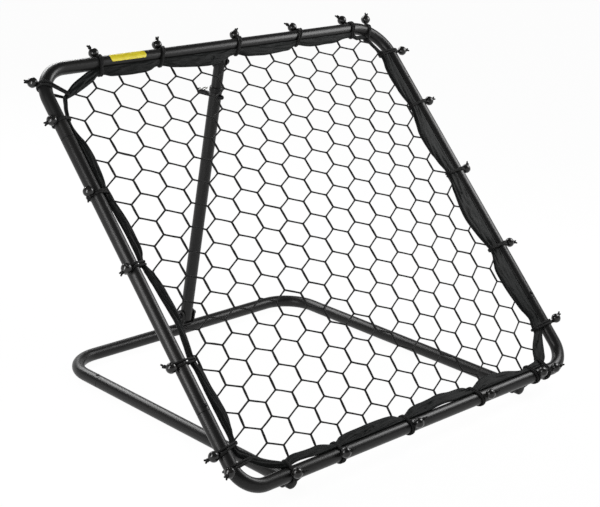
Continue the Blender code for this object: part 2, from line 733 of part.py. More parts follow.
def hem_stations():
    """Round the hem: outer edge point, inner edge point, and the room between it and the net."""
    touch = TUBE_R + TOUCH
    close = touch + TOUCH
    stations = []
    for side, spots in tie_spots():
        tied = HEM_AT_TIE[side]
        room = band_room((tied - touch) / 2)
        way = 1 if spots[-1] > spots[0] else -1
        for i, spot in enumerate(spots):
            for step in (-HELD_HALF, HELD_HALF):
                place_at = spot + step * way
                stations.append((side_point(side, place_at, close), side_point(side, place_at, tied), room))
            if i + 1 == len(spots):
                break
            for share, swell in HEM_SWELL:
                place_at = spot + (spots[i + 1] - spot) * share
                inner = tied + (HEM_MID[side] - tied) * swell
                outer = close + (HEM_OUTER_MID[side] - close) * swell
                stations.append((side_point(side, place_at, outer), side_point(side, place_at, inner), TOUCH))
        stations += hem_corner(side)
    return stations


def corner_tie(corner):
    """A corner tie's tube point, its inward direction and how far in the hem lies."""
    angle, reach, along_bar = CORNER_TIES[corner]
    radius = {"top": TOP_BEND_RIGHT, "left": TOP_BEND_LEFT}.get(corner, BOTTOM_BEND)
    x = HALF_W - radius if corner in ("top", "right") else -HALF_W + radius
    y = FRAME_HEIGHT - radius if corner in ("top", "left") else radius
    inward = -Vector((cos(angle), sin(angle)))
    return Vector((x + along_bar, y)) - inward * radius, inward, reach


def hem_corner(side):
    """The hem's stations across the corner that follows a side, clockwise."""
    spot, inward, reach = corner_tie(side)
    middle = spot + inward * reach
    along_hem = Vector((-inward.y, inward.x))
    half = inward * HEM_CORNER_HALF
    held = []
    for step in (-HELD_HALF, HELD_HALF):
        centre = middle + along_hem * step
        held.append((centre - half, centre + half, band_room(HEM_CORNER_HALF)))
    before, after = [loose_station(middle + Vector(step)) for step in HEM_CORNER_RUN[side]]
    return [before] + held + [after]


def loose_station(centre):
    """A stretch of hem that crosses a corner of the frame at 45 degrees."""
    toward = Vector((0, FRAME_HEIGHT / 2)) - centre
    half = Vector((toward.x / abs(toward.x), toward.y / abs(toward.y))).normalized() * HEM_CORNER_HALF
    return centre - half, centre + half, CORNER_ROOM


def build_hem(axes, stations):
    work = bmesh.new()
    outer = [work.verts.new((*station[0], 0)) for station in stations]
    inner = [work.verts.new((*station[1], 0)) for station in stations]
    count = len(stations)
    for i in range(count):
        j = (i + 1) % count
        work.faces.new((outer[i], outer[j], inner[j], inner[i]))
    hem = place("net_hem", from_bmesh(work), axes)
    thick = hem.modifiers.new("thickness", "SOLIDIFY")
    thick.thickness = HEM_T
    thick.offset = 0
    return fabric(hem)


def inside(point, outline):
    """Whether a point lies inside a closed outline."""
    found = False
    count = len(outline)
    for i in range(count):
        a = outline[i]
        b = outline[(i + 1) % count]
        if (a.y > point.y) != (b.y > point.y):
            if point.x < a.x + (point.y - a.y) * (b.x - a.x) / (b.y - a.y):
                found = not found
    return found


def length_marks(outline):
    """How far round a closed outline each corner lies, and last the whole way round."""
    marks = [0.0]
    for i, corner in enumerate(outline):
        marks.append(marks[-1] + (outline[(i + 1) % len(outline)] - corner).length)
    return marks


def nearest_length(point, outline, marks):
    """How far round a closed outline its nearest spot to a point lies."""
    best_gap = None
    best = 0.0
    for i, a in enumerate(outline):
        line = outline[(i + 1) % len(outline)] - a
        share = max(0.0, min(1.0, (point - a).dot(line) / line.length_squared))
        gap = (a + line * share - point).length
        if best_gap is None or gap < best_gap:
            best_gap = gap
            best = marks[i] + share * line.length
    return best


def at_length(length, outline, marks):
    length = length % marks[-1]
    for i, a in enumerate(outline):
        if length <= marks[i + 1]:
            return a.lerp(outline[(i + 1) % len(outline)], (length - marks[i]) / (marks[i + 1] - marks[i]))
    return outline[0]


def border_loop(work):
    """The net's outer knots in order."""
    first = next(vert for vert in work.verts if vert.is_boundary)
    loop = [first]
    edge = next(edge for edge in first.link_edges if edge.is_boundary)
    while True:
        vert = edge.other_vert(loop[-1])
        if vert == first:
            return loop
        loop.append(vert)
        edge = next(e for e in vert.link_edges if e.is_boundary and e != edge)


def lace_to(work, border):
    """Moves the net's outer knots onto the border in order, and follows its corners between them."""
    marks = length_marks(border)
    total = marks[-1]
    loop = border_loop(work)
    spots = [nearest_length(vert.co.xy, border, marks) for vert in loop]
    steps = [(spots[i] - spots[i - 1] + total / 2) % total - total / 2 for i in range(len(loop))]
    if sum(steps) < 0:
        loop.reverse()
        spots.reverse()
    for i in range(1, len(spots)):
        step = (spots[i] - spots[i - 1] + total / 2) % total - total / 2
        spots[i] = spots[i - 1] + max(step, NET_LEAST_STEP)
    corners = [mark + turn * total for turn in (-1, 0, 1) for mark in marks[:-1]]
    for i, spot in enumerate(spots):
        close = min(corners, key=lambda corner: abs(corner - spot))
        if abs(close - spot) < NET_SNAP and (i == 0 or close > spots[i - 1] + NET_SNAP):
            spots[i] = close
    for i, vert in enumerate(loop):
        vert.co.xy = at_length(spots[i], border, marks)
    for i, vert in enumerate(loop):
        last = loop[(i + 1) % len(loop)]
        end = spots[i + 1] if i + 1 < len(loop) else spots[0] + total
        between = sorted(c for c in corners if spots[i] + NET_SNAP / 2 < c < end - NET_SNAP / 2)
        for corner in between:
            edge = next(e for e in vert.link_edges if e.other_vert(vert) == last)
            _, vert = bmesh.utils.edge_split(edge, vert, 0.5)
            vert.co.xy = at_length(corner, border, marks)


def inset(outline, distances):
    """The outline moved inward at each corner, mitred."""
    count = len(outline)
    moved = []
    for i in range(count):
        before = (outline[i] - outline[i - 1]).normalized()
        after = (outline[(i + 1) % count] - outline[i]).normalized()
        run = (before + after).normalized()
        mitre = max(0.5, run.dot(after))
        moved.append(outline[i] + Vector((run.y, -run.x)) * distances[i] / mitre)
    return moved


def stretched(x, y):
    """Where a knot of the even net lies once the net is laced up: leaning, tilted and bowed."""
    across = x / NET_HALF_SPAN
    height = (y - FRAME_HEIGHT / 2) / NET_HALF_SPAN
    return Vector((x + NET_LEAN * height + NET_BOW_U * height * height,
                   y + NET_TILT * across + NET_SHEAR * across * height))


def net_cell(column, row):
    """The six knots of one mesh, as places in the even net."""
    x = NET_START_U + (column + 0.5 * (row % 2)) * NET_PITCH_U
    y = NET_START_V + row * NET_PITCH_V
    half = NET_PITCH_U / 2
    top = y + NET_PITCH_V
    return [(x, y), (x + half, y - NET_RISE), (x + 2 * half, y),
            (x + 2 * half, top - NET_RISE), (x + half, top), (x, top - NET_RISE)]


def build_net(axes, stations):
    """Hexagon meshes whose outer knots are laced to the hem's inner edge."""
    edge = [inner for outer, inner, room in stations]
    border = inset(edge, [NET_STRAND / 2 + room for outer, inner, room in stations])
    limit = inset(edge, [NET_EDGE_INSET] * len(edge))
    work = bmesh.new()
    knots = {}
    for row in range(-1, NET_ROWS):
        for column in range(-NET_COLUMNS, NET_COLUMNS):
            corners = net_cell(column, row)
            middle = sum((stretched(*corner) for corner in corners), Vector((0, 0))) / 6
            if not inside(middle, limit):
                continue
            loop = []
            for corner in corners:
                key = (round(corner[0], 5), round(corner[1], 5))
                if key not in knots:
                    knots[key] = work.verts.new((*stretched(*corner), 0))
                loop.append(knots[key])
            work.faces.new(loop)
    lace_to(work, border)
    print("net meshes:", len(work.faces))
    net = place("net", from_bmesh(work), axes)
    strands = net.modifiers.new("strands", "WIREFRAME")
    strands.thickness = NET_STRAND
    strands.use_boundary = True
    strands.use_replace = True
    strands.use_even_offset = False
    return fabric(net)


def build_tie(name, axes, spot, inward, hem_middle, hem_half, ball_at):
    """A band round tube and hem, fused with the ball that it passes through."""
    tube_circle = TUBE_R + TOUCH
    hem_circle = held_circle(hem_half)
    steps = (5, 3)
    start = (0, 0)
    end = (hem_middle, 0)
    flat_tube = 1 / cos(pi / 9)
    flat_hem = 1 / cos(pi / 6)
    inner = belt(start, tube_circle * flat_tube, end, hem_circle * flat_hem, *steps)
    outer = belt(start, (tube_circle + BAND_T) * flat_tube, end, (hem_circle + BAND_T) * flat_hem, *steps)
    normal = Vector((0, 0, 1))
    across = Vector((inward.x, inward.y, 0))
    band = plate([outer, inner], BAND_WIDTH, across, normal, (spot.x, spot.y, 0))
    tie = place(name, band, axes)
    join(tie, ball(BALL_D / 2, ball_at, 5, 7))
    return black_plastic(tie)


def build_ties(axes):
    touch = TUBE_R + TOUCH
    for side, spots in tie_spots():
        hem_half = (HEM_AT_TIE[side] - touch) / 2
        for i, place_at in enumerate(spots):
            spot = side_point(side, place_at, 0)
            inward = (side_point(side, place_at, 1) - spot).normalized()
            build_tie("tie_%s_%d" % (side, i + 1), axes, spot, inward, touch + hem_half, hem_half,
                      ball_place(side, spot, inward))
    names = (("top", "top_right"), ("right", "bottom_right"), ("bottom", "bottom_left"), ("left", "top_left"))
    for corner, name in names:
        spot, inward, reach = corner_tie(corner)
        side = "bottom" if corner == "right" else corner + "_corner"
        build_tie("tie_" + name, axes, spot, inward, reach, HEM_CORNER_HALF, ball_place(side, spot, inward))


def ball_place(side, spot, inward):
    """Balls lie outside the tube, but in front of the bottom bar."""
    if side == "bottom":
        along_bar = Vector((-inward.y, inward.x))
        if along_bar.x < 0:
            along_bar = -along_bar
        beside = spot + along_bar * BALL_SHIFT
        return (beside.x, beside.y, TUBE_R + TOUCH + BALL_D / 2)
    out = spot - inward * BALL_OUT
    return (out.x, out.y, -BALL_BEHIND)


def build_label(axes):
    """A bare curved panel stuck on the top bar."""
    radius = TUBE_R + TOUCH
    half = LABEL_HEIGHT / 2 / radius
    work = bmesh.new()
    rows = []
    steps = 8
    for x in (LABEL_START, LABEL_START + LABEL_LENGTH):
        row = []
        for i in range(steps + 1):
            angle = LABEL_TURN + half * (2 * i / steps - 1)
            row.append(work.verts.new((x, FRAME_HEIGHT + radius * sin(angle), radius * cos(angle))))
        rows.append(row)
    for i in range(steps):
        work.faces.new((rows[0][i], rows[1][i], rows[1][i + 1], rows[0][i + 1]))
    label = place("top_bar_label", from_bmesh(work), axes)
    for face in label.data.polygons:
        if face.normal.z < 0:
            label.data.flip_normals()
            break
    thick = label.modifiers.new("thickness", "SOLIDIFY")
    thick.thickness = LABEL_T
    thick.offset = 1
    return finish(label, (0.62, 0.50, 0.06), 0.5, 0.0)


def main():
    global model, guides
    clear_scene()
    model = make_collection("soccer_rebounder")
    guides = make_collection("cutters")
    right = Vector((1, 0, 0))
    hinge_axes = axes_empty("tilt_hinge", HINGE, right, FRAME_UP, FRAME_OUT)
    frame_axes = axes_empty("frame_axes", FRAME_ORIGIN, right, FRAME_UP, FRAME_OUT, hinge_axes)
    strut_up = (HEAD - FOOT).normalized()
    strut_axes = axes_empty("strut_axes", FOOT, right, strut_up.cross(right), strut_up)
    frame_tubes = build_frame_tubes(frame_axes)
    base_tubes = build_base_tubes()
    build_buttons(frame_axes, frame_tubes, base_tubes)
    build_hinges(frame_axes)
    build_foot()
    build_head(frame_axes)
    build_strut(strut_axes)
    build_pin(strut_axes)
    stations = hem_stations()
    build_hem(frame_axes, stations)
    build_net(frame_axes, stations)
    build_ties(frame_axes)
    build_label(frame_axes)


main()
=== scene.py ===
"""Looks of the soccer rebounder: tubes, laced net, folded hem, corded balls and hardware."""
from math import acos, atan2, cos, dist, pi, radians, sin, sqrt

import bmesh
import bpy
import numpy as np
from mathutils import Matrix, Vector, noise


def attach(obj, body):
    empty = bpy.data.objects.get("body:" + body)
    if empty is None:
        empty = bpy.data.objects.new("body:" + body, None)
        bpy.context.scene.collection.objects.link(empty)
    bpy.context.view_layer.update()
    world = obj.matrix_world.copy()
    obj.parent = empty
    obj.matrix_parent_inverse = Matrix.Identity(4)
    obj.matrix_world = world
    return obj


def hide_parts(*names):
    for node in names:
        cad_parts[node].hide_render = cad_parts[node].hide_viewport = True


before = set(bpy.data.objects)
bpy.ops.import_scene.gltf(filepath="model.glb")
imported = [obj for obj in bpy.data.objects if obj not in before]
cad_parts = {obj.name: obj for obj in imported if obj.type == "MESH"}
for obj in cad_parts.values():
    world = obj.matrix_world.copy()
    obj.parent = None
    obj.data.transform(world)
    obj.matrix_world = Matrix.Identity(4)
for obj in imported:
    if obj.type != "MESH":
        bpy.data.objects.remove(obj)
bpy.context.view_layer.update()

# Sizes shared with the solids, in metres
TUBE_R = 0.0127
WALL = 0.0012
UPPER_R = 0.0111
PLUG_R = 0.0111
HALF_W = 0.443
HEIGHT = 0.8402
LEAN = radians(44.05)
TOP_BEND_LEFT = 0.060
TOP_BEND_RIGHT = 0.074
BOTTOM_BEND = 0.050
LOWER_JOINT = 0.150
UPPER_JOINT = 0.698
JOINT_GAP = 0.0006
PLUG_LENGTH = 0.040
BASE_DEPTH = 0.6882
LEG_X = 0.3163
REAR_BEND = 0.075
LEG_JOINT = -0.125
LEG_FRONT = -BASE_DEPTH + 0.018
BASE_Z = TUBE_R * cos(pi / 12)
HINGE_Y = -BASE_DEPTH + 0.026
FOOT_Y = -0.007
FOOT_Z = 0.046
HEAD_DROP = 0.033
RIM_BELOW_HEAD = 0.062
UPPER_LENGTH = 0.420
PIN_DOWN = 0.004 + 0.0095 / 2
PIN_R = 0.00475
PIN_DROOP = radians(8.0)
CORNER_Z = 0.0405
PLATE = 0.0025
SIDE_GAP = 0.0006
HOLE_PITCH = 0.02702

RIGHT = Vector((1, 0, 0))
UP = Vector((0, sin(LEAN), cos(LEAN)))
OUT = Vector((0, -cos(LEAN), sin(LEAN)))
CORNER = Vector((0, -BASE_DEPTH, CORNER_Z))
FOOT = Vector((0, FOOT_Y, FOOT_Z))
TOP_BAR = CORNER + UP * HEIGHT
HEAD = TOP_BAR + (FOOT - TOP_BAR).normalized() * HEAD_DROP
STRUT_LENGTH = (HEAD - FOOT).length
STRUT_UP = (HEAD - FOOT).normalized()
LOWER_LENGTH = STRUT_LENGTH - RIM_BELOW_HEAD
PIN_HOLE = LOWER_LENGTH - PIN_DOWN

# Sizes of the looks alone, in metres
CHAMFER = 0.0005
EAR_R = 0.009
EAR_SINK = TUBE_R * 0.75
BUTTON_R = 0.0033
BUTTON_HOLE_R = 0.0038
NET_SIDE_R = 0.00158
NET_CROSS_R = 0.00152
NET_ASIDE = 0.0010
NET_LIFT = 0.0002
CORD_R = 0.0020
CORD_ASIDE = 0.0024
BALL_R = 0.0098
BALL_BORE_R = 0.0034
BALL_THROAT_R = 0.0022
SEAM_R = 0.00028
SIDE_GRIP = 0.0052
CORNER_GRIP = 0.0055


def frame_matrix(x, y, z, origin):
    matrix = Matrix((x, y, z)).transposed().to_4x4()
    matrix.translation = origin
    return matrix


FRAME_AXES = frame_matrix(RIGHT, UP, OUT, CORNER)
STRUT_AXES = frame_matrix(RIGHT, STRUT_UP.cross(RIGHT), STRUT_UP, FOOT)
WORLD_AXES = Matrix.Identity(4)
BASE_AXES = Matrix.Translation((0, 0, BASE_Z))
PIN_AXES = STRUT_AXES @ Matrix.Translation((0, 0, PIN_HOLE)) @ Matrix.Rotation(-PIN_DROOP, 4, "X")


# Meshes

def angles(count):
    return [2 * pi * i / count for i in range(count)]


def metres(x, y):
    """A point of the frame's plane from millimetres."""
    return Vector((x / 1000, y / 1000, 0))


class Shape:
    """Gathers many swept strands and turned pieces into one mesh, with lengthwise texture coordinates."""

    def __init__(self):
        self.verts = []
        self.faces = []
        self.uvs = []
        self.count = 0

    def add(self, verts, faces, uvs):
        self.verts.append(verts)
        self.faces.extend([[i + self.count for i in face] for face in faces])
        self.uvs.extend(uvs)
        self.count += len(verts)

    def mesh(self, name):
        mesh = bpy.data.meshes.new(name)
        mesh.from_pydata(np.concatenate(self.verts).tolist(), [], self.faces)
        layer = mesh.uv_layers.new(name="UVMap")
        layer.data.foreach_set("uv", np.array([uv for face in self.uvs for uv in face], np.float32).ravel())
        mesh.validate()
        return mesh


def tangents(points, closed):
    """The way along a row of points at each of them, by the points on both its sides."""
    before = (points[-1:] if closed else points[:1]) + points[:-1]
    after = points[1:] + (points[:1] if closed else points[-1:])
    return [(b - a).normalized() for a, b in zip(before, after)]


def rings(ways, start_side=None):
    """Side vectors that turn as little as they can from one point to the next."""
    side = Vector(start_side) if start_side else ways[0].orthogonal()
    side = (side - ways[0] * side.dot(ways[0])).normalized()
    result = []
    for way in ways:
        side = (side - way * side.dot(way)).normalized()
        result.append((side.copy(), way.cross(side)))
    return result


def run_lengths(points):
    """How far along each point lies, and last the whole way round to the first one."""
    lengths = [0.0]
    for a, b in zip(points, points[1:] + points[:1]):
        lengths.append(lengths[-1] + (b - a).length)
    return lengths


def skin(lengths, sides, stretch, closed=True, mirrored=False):
    """Faces and texture places between rings of points, whose lengths end with the way round to the first."""
    faces = []
    uvs = []
    count = len(lengths) - 1
    for i in range(count if closed else count - 1):
        j = (i + 1) % count
        near, far = lengths[i], lengths[i + 1]
        for k in range(sides):
            m = (k + 1) % sides
            low, high = k / sides * stretch, (k + 1) / sides * stretch
            face = [i * sides + k, i * sides + m, j * sides + m, j * sides + k]
            uv = [(near, low), (near, high), (far, high), (far, low)]
            faces.append(face[:1] + face[:0:-1] if mirrored else face)
            uvs.append(uv[:1] + uv[:0:-1] if mirrored else uv)
    return faces, uvs


def sweep(shape, points, radius, sides=12, closed=False, caps=True, ways=None, start_side=None):
    """Sweeps a circle along the points, with one radius or one for each point."""
    points = [Vector(p) for p in points]
    ways = ways or tangents(points, closed)
    count = len(points)
    radii = radius if hasattr(radius, "__len__") else [radius] * count
    verts = np.zeros((count * sides, 3))
    for i, (a, b) in enumerate(rings(ways, start_side)):
        for k, angle in enumerate(angles(sides)):
            verts[i * sides + k] = points[i] + a * (radii[i] * cos(angle)) + b * (radii[i] * sin(angle))
    faces, uvs = skin(run_lengths(points), sides, 2 * pi * max(radii), closed)
    if caps and not closed:
        faces.append(list(range(sides - 1, -1, -1)))
        faces.append([(count - 1) * sides + k for k in range(sides)])
        uvs += [[(0, 0)] * sides] * 2
    shape.add(verts, faces, uvs)


def turned(shape, profile, sides, matrix):
    """A turned solid from (radius, height) pairs about the matrix's Z."""
    points = [matrix @ Vector((0, 0, height)) for radius, height in profile]
    radii = [radius for radius, height in profile]
    axis = (matrix.to_3x3() @ Vector((0, 0, 1))).normalized()
    side = (matrix.to_3x3() @ Vector((1, 0, 0))).normalized()
    sweep(shape, points, radii, sides, False, True, [axis] * len(points), side)


def aim(origin, direction):
    turn = Vector(direction).to_track_quat("Z", "Y").to_matrix().to_4x4()
    return Matrix.Translation(origin) @ turn


def arc(centre, radius, start, end, steps):
    points = []
    for i in range(steps + 1):
        angle = start + (end - start) * i / steps
        points.append(Vector((centre[0] + radius * cos(angle), centre[1] + radius * sin(angle), 0)))
    return points


def between(a, b, steps):
    a, b = Vector(a), Vector(b)
    return [a.lerp(b, i / steps) for i in range(steps + 1)]


def mesh_of(work, name):
    mesh = bpy.data.meshes.new(name)
    work.to_mesh(mesh)
    work.free()
    return mesh


def new_object(name, data):
    thing = bpy.data.objects.new(name, data)
    bpy.context.scene.collection.objects.link(thing)
    return thing


def final_mesh(thing):
    """An object's mesh with its bevel or cuts worked in."""
    bpy.context.view_layer.update()
    return bpy.data.meshes.new_from_object(thing.evaluated_get(bpy.context.evaluated_depsgraph_get()))


def joined_mesh(name, meshes):
    work = bmesh.new()
    for mesh in meshes:
        work.from_mesh(mesh)
    return mesh_of(work, name)


def put(name, form, matrix, body, nodes, material, smooth=radians(38)):
    """Places a shape or a mesh on its body, in the stead of the solids that it shows more finely."""
    mesh = form.mesh(name) if isinstance(form, Shape) else form
    piece = new_object(name, mesh)
    piece.matrix_world = matrix
    mesh.materials.clear()
    mesh.materials.append(material)
    mesh.shade_smooth()
    mesh.set_sharp_from_angle(angle=smooth)
    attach(piece, body)
    if nodes:
        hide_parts(*nodes)
    return piece


# Materials

def link(tree, a, b):
    tree.links.new(a, b)


def add_node(tree, kind, **values):
    node = tree.nodes.new(kind)
    for key, value in values.items():
        if key in node.inputs:
            node.inputs[key].default_value = value
        else:
            setattr(node, key, value)
    return node


def combine(tree, operation, a, b):
    """A math node's value from two sockets, or from a socket and a number."""
    node = add_node(tree, "ShaderNodeMath", operation=operation)
    link(tree, a, node.inputs[0])
    if isinstance(b, float):
        node.inputs[1].default_value = b
    else:
        link(tree, b, node.inputs[1])
    return node.outputs["Value"]


def ramp(tree, source, stops):
    """A ramp from (place, colour) pairs, where a plain number is a grey."""
    node = tree.nodes.new("ShaderNodeValToRGB")
    elements = node.color_ramp.elements
    while len(elements) < len(stops):
        elements.new(0.5)
    for element, (place, color) in zip(elements, stops):
        element.position = place
        element.color = (*color, 1) if isinstance(color, tuple) else (color, color, color, 1)
    link(tree, source, node.inputs["Fac"])
    return node.outputs["Color"]


class Finish:
    """A material built up from textures, ramps over them and bumps."""

    def __init__(self, name):
        self.material = bpy.data.materials.new(name)
        self.material.use_nodes = True
        self.tree = self.material.node_tree
        self.shader = self.tree.nodes["Principled BSDF"]
        self.place = self.tree.nodes.new("ShaderNodeTexCoord")

    def stretched(self, coordinates, scale):
        node = self.tree.nodes.new("ShaderNodeMapping")
        node.inputs["Scale"].default_value = scale
        link(self.tree, self.place.outputs[coordinates], node.inputs["Vector"])
        return node.outputs["Vector"]

    def noise(self, scale, detail, vector=None, distortion=0.0):
        node = add_node(self.tree, "ShaderNodeTexNoise", Scale=scale, Detail=detail, Distortion=distortion)
        link(self.tree, vector or self.place.outputs["Object"], node.inputs["Vector"])
        return node.outputs["Fac"]

    def wave(self, scale, way, distortion):
        node = add_node(self.tree, "ShaderNodeTexWave", Scale=1.0, Distortion=distortion, bands_direction=way)
        link(self.tree, self.stretched("UV", scale), node.inputs["Vector"])
        return node.outputs["Fac"]

    def color(self, source, stops):
        link(self.tree, ramp(self.tree, source, stops), self.shader.inputs["Base Color"])

    def roughness(self, source, stops):
        link(self.tree, ramp(self.tree, source, stops), self.shader.inputs["Roughness"])

    def settle(self, values):
        for name, value in values.items():
            self.shader.inputs[name].default_value = value

    def bumps(self, *layers):
        """Bumps in a chain, from (height socket, strength, distance in metres)."""
        last = None
        for height, strength, distance in layers:
            node = add_node(self.tree, "ShaderNodeBump", Strength=strength, Distance=distance)
            link(self.tree, height, node.inputs["Height"])
            if last:
                link(self.tree, last.outputs["Normal"], node.inputs["Normal"])
            last = node
        link(self.tree, last.outputs["Normal"], self.shader.inputs["Normal"])


def powder_coat():
    finish = Finish("powder_coat")
    fine = finish.noise(1500.0, 3.0)
    broad = finish.noise(9.0, 4.0)
    finish.color(broad, [(0.35, (0.0052, 0.0052, 0.0054)), (0.7, (0.0075, 0.0073, 0.0070))])
    finish.roughness(broad, [(0.3, 0.34), (0.75, 0.40)])
    finish.settle({"Specular IOR Level": 0.25})
    finish.bumps((fine, 0.03, 0.00004))
    return finish.material


def black_plastic(name, tone_a, tone_b, roughness, gloss, grain):
    finish = Finish(name)
    spots = finish.noise(140.0, 5.0)
    fine = finish.noise(grain, 2.0)
    finish.color(spots, [(0.35, tone_a), (0.7, tone_b)])
    finish.roughness(spots, [(0.3, roughness), (0.8, roughness + 0.12)])
    finish.settle({"Specular IOR Level": gloss})
    finish.bumps((fine, 0.08, 0.00008), (spots, 0.12, 0.0002))
    return finish.material


def cord_cloth(name, tone_a, tone_b, pitch, turns, depth):
    """Braided cord: two crossing diagonal ribs along the strand, its colour darker in the grooves between the
    ribs as painted shade.
    """
    finish = Finish(name)
    ribs = [finish.wave((1 / pitch, sign * turns / pitch, 1), "DIAGONAL", 0.6) for sign in (1, -1)]
    braid = combine(finish.tree, "MAXIMUM", *ribs)
    fuzz = finish.noise(2200.0, 3.0)
    # Painted shade: the colour follows the braid's height, darker in its grooves and lighter on its ribs
    finish.color(braid, [(0.2, tone_a), (0.95, tone_b)])
    finish.settle({"Roughness": 0.78, "Specular IOR Level": 0.2})
    finish.settle({"Sheen Weight": 0.03, "Sheen Roughness": 0.5})
    finish.bumps((braid, 0.6, depth), (fuzz, 0.25, 0.0002))
    return finish.material


def hem_cloth():
    """Woven polyester: a fine over-and-under weave, puckers along the length and a faint green tint."""
    finish = Finish("hem_cloth")
    across = finish.wave((1 / 0.0011, 0, 1), "X", 0.3)
    along = finish.wave((0, 1 / 0.0009, 1), "Y", 0.3)
    weave = combine(finish.tree, "MULTIPLY", across, along)
    pucker = finish.noise(1.0, 4.0, finish.stretched("UV", (14.0, 210.0, 1)), 0.8)
    broad = finish.noise(32.0, 3.0)
    finish.color(broad, [(0.3, (0.0010, 0.0013, 0.0013)), (0.75, (0.0030, 0.0039, 0.0037))])
    finish.settle({"Roughness": 0.62, "Specular IOR Level": 0.13})
    finish.settle({"Sheen Weight": 0.015, "Sheen Roughness": 0.45, "Sheen Tint": (0.72, 0.88, 0.85, 1)})
    finish.bumps((pucker, 0.6, 0.0016), (weave, 0.2, 0.0002))
    return finish.material


def zinc(name, tone_a, tone_b, roughness):
    finish = Finish(name)
    cloud = finish.noise(220.0, 5.0)
    scratch = finish.noise(1.0, 2.0, finish.stretched("Object", (300.0, 2600.0, 300.0)))
    finish.color(cloud, [(0.3, tone_a), (0.72, tone_b)])
    finish.roughness(cloud, [(0.3, roughness), (0.8, roughness + 0.16)])
    finish.settle({"Metallic": 1.0})
    finish.bumps((scratch, 0.15, 0.0001))
    return finish.material


def yellow_film():
    finish = Finish("yellow_film")
    cloud = finish.noise(60.0, 5.0)
    finish.color(cloud, [(0.3, (0.58, 0.47, 0.010)), (0.7, (0.72, 0.62, 0.025))])
    finish.settle({"Roughness": 0.36})
    finish.bumps((cloud, 0.1, 0.0002))
    return finish.material


COAT = powder_coat()
CAP = black_plastic("cap_plastic", 0.003, 0.007, 0.42, 0.20, 900.0)
BALL = black_plastic("ball_plastic", 0.004, (0.009, 0.0085, 0.008), 0.16, 0.42, 700.0)
ELASTIC = cord_cloth("elastic_cord", 0.001, 0.005, 0.0022, 1.0, 0.0004)
NET_CORD = cord_cloth("net_cord", 0.0015, 0.006, 0.0026, 1.2, 0.0004)
HEM = hem_cloth()
ZINC = zinc("zinc_plate", (0.30, 0.30, 0.29), (0.48, 0.48, 0.46), 0.28)
DARK_ZINC = zinc("black_zinc", (0.010, 0.010, 0.011), (0.024, 0.024, 0.025), 0.34)
FILM = yellow_film()


# Tubes

def plain_end(radius):
    """How a cut tube end runs, from inside the bore out round a small chamfer: (distance in, radius)."""
    return [(0.015, radius - WALL), (0.0, radius - WALL), (0.0, radius - CHAMFER), (CHAMFER, radius)]


CUT_END = plain_end(TUBE_R)
# A plug that slides into the next tube, then the shoulder that its rim meets
PLUG_END = [(-PLUG_LENGTH, PLUG_R - WALL), (-PLUG_LENGTH + 0.001, PLUG_R), (0.0, PLUG_R),
            (0.0, TUBE_R - CHAMFER), (CHAMFER, TUBE_R)]


def put_tube(name, path, start, end, axes, body, node, radius=TUBE_R):
    """A tube along a path, with its ends turned to their own profiles."""
    shape = Shape()
    ways = tangents(path, False)
    rows = [(path[0] + ways[0] * distance, size, ways[0]) for distance, size in start]
    rows += [(point, radius, way) for point, way in zip(path[1:-1], ways[1:-1])]
    rows += [(path[-1] - ways[-1] * distance, size, ways[-1]) for distance, size in reversed(end)]
    points, radii, turns = zip(*rows)
    sweep(shape, points, radii, 40, False, False, turns)
    return put(name, shape, axes, body, [node], COAT)


def u_path(half, arm, bend_left, bend_right, far, sign):
    """A U of tube in its own plane: up the left arm, across and down the right. Sign is the bar's way."""
    quarter = pi / 2
    left = arc((-half + bend_left, far - sign * bend_left), bend_left, pi, pi - sign * quarter, 18)
    right = arc((half - bend_right, far - sign * bend_right), bend_right, sign * quarter, 0, 18)
    start = between((-half, arm, 0), left[0], 6)
    cross = between(left[-1], right[0], 12)
    end = between(right[-1], (half, arm, 0), 6)
    return start[:-1] + left[:-1] + cross[:-1] + right[:-1] + end


def build_frame_tubes():
    gap = JOINT_GAP / 2
    top = u_path(HALF_W, UPPER_JOINT + gap, TOP_BEND_LEFT, TOP_BEND_RIGHT, HEIGHT, 1)
    put_tube("top_tube", top, PLUG_END, PLUG_END, FRAME_AXES, "frame", "top_frame_tube")
    bottom = u_path(HALF_W, LOWER_JOINT - gap, BOTTOM_BEND, BOTTOM_BEND, 0, -1)
    put_tube("bottom_tube", bottom, PLUG_END, PLUG_END, FRAME_AXES, "frame", "bottom_frame_tube")
    for side, x in (("left", -HALF_W), ("right", HALF_W)):
        line = between((x, LOWER_JOINT + gap, 0), (x, UPPER_JOINT - gap, 0), 12)
        put_tube(side + "_tube", line, CUT_END, CUT_END, FRAME_AXES, "frame", side + "_frame_tube")


def build_base_tubes():
    gap = JOINT_GAP / 2
    rear = u_path(LEG_X, LEG_JOINT + gap, REAR_BEND, REAR_BEND, 0, 1)
    put_tube("rear_tube", rear, CUT_END, CUT_END, BASE_AXES, "base", "rear_base_tube")
    stem = [(0.0001, -0.014), (0.0103, -0.014), (0.0106, -0.0135), (0.0106, 0.0003),
            (TUBE_R - 0.0004, 0.0003)]
    crown = ((1.0, 0.0008), (1.0, 0.0022), (0.97, 0.0034), (0.88, 0.0046), (0.72, 0.0054), (0.45, 0.0059))
    profile = stem + [(TUBE_R * share, height) for share, height in crown] + [(0.0001, 0.006)]
    for side, x in (("left", -LEG_X), ("right", LEG_X)):
        line = between((x, LEG_JOINT - gap, 0), (x, LEG_FRONT, 0), 12)
        put_tube(side + "_leg", line, PLUG_END, CUT_END, BASE_AXES, "base", side + "_leg_tube")
        shape = Shape()
        turned(shape, profile, 36, aim((x, LEG_FRONT, 0), (0, -1, 0)))
        put(side + "_cap", shape, BASE_AXES, "base", [side + "_leg_cap"], CAP)


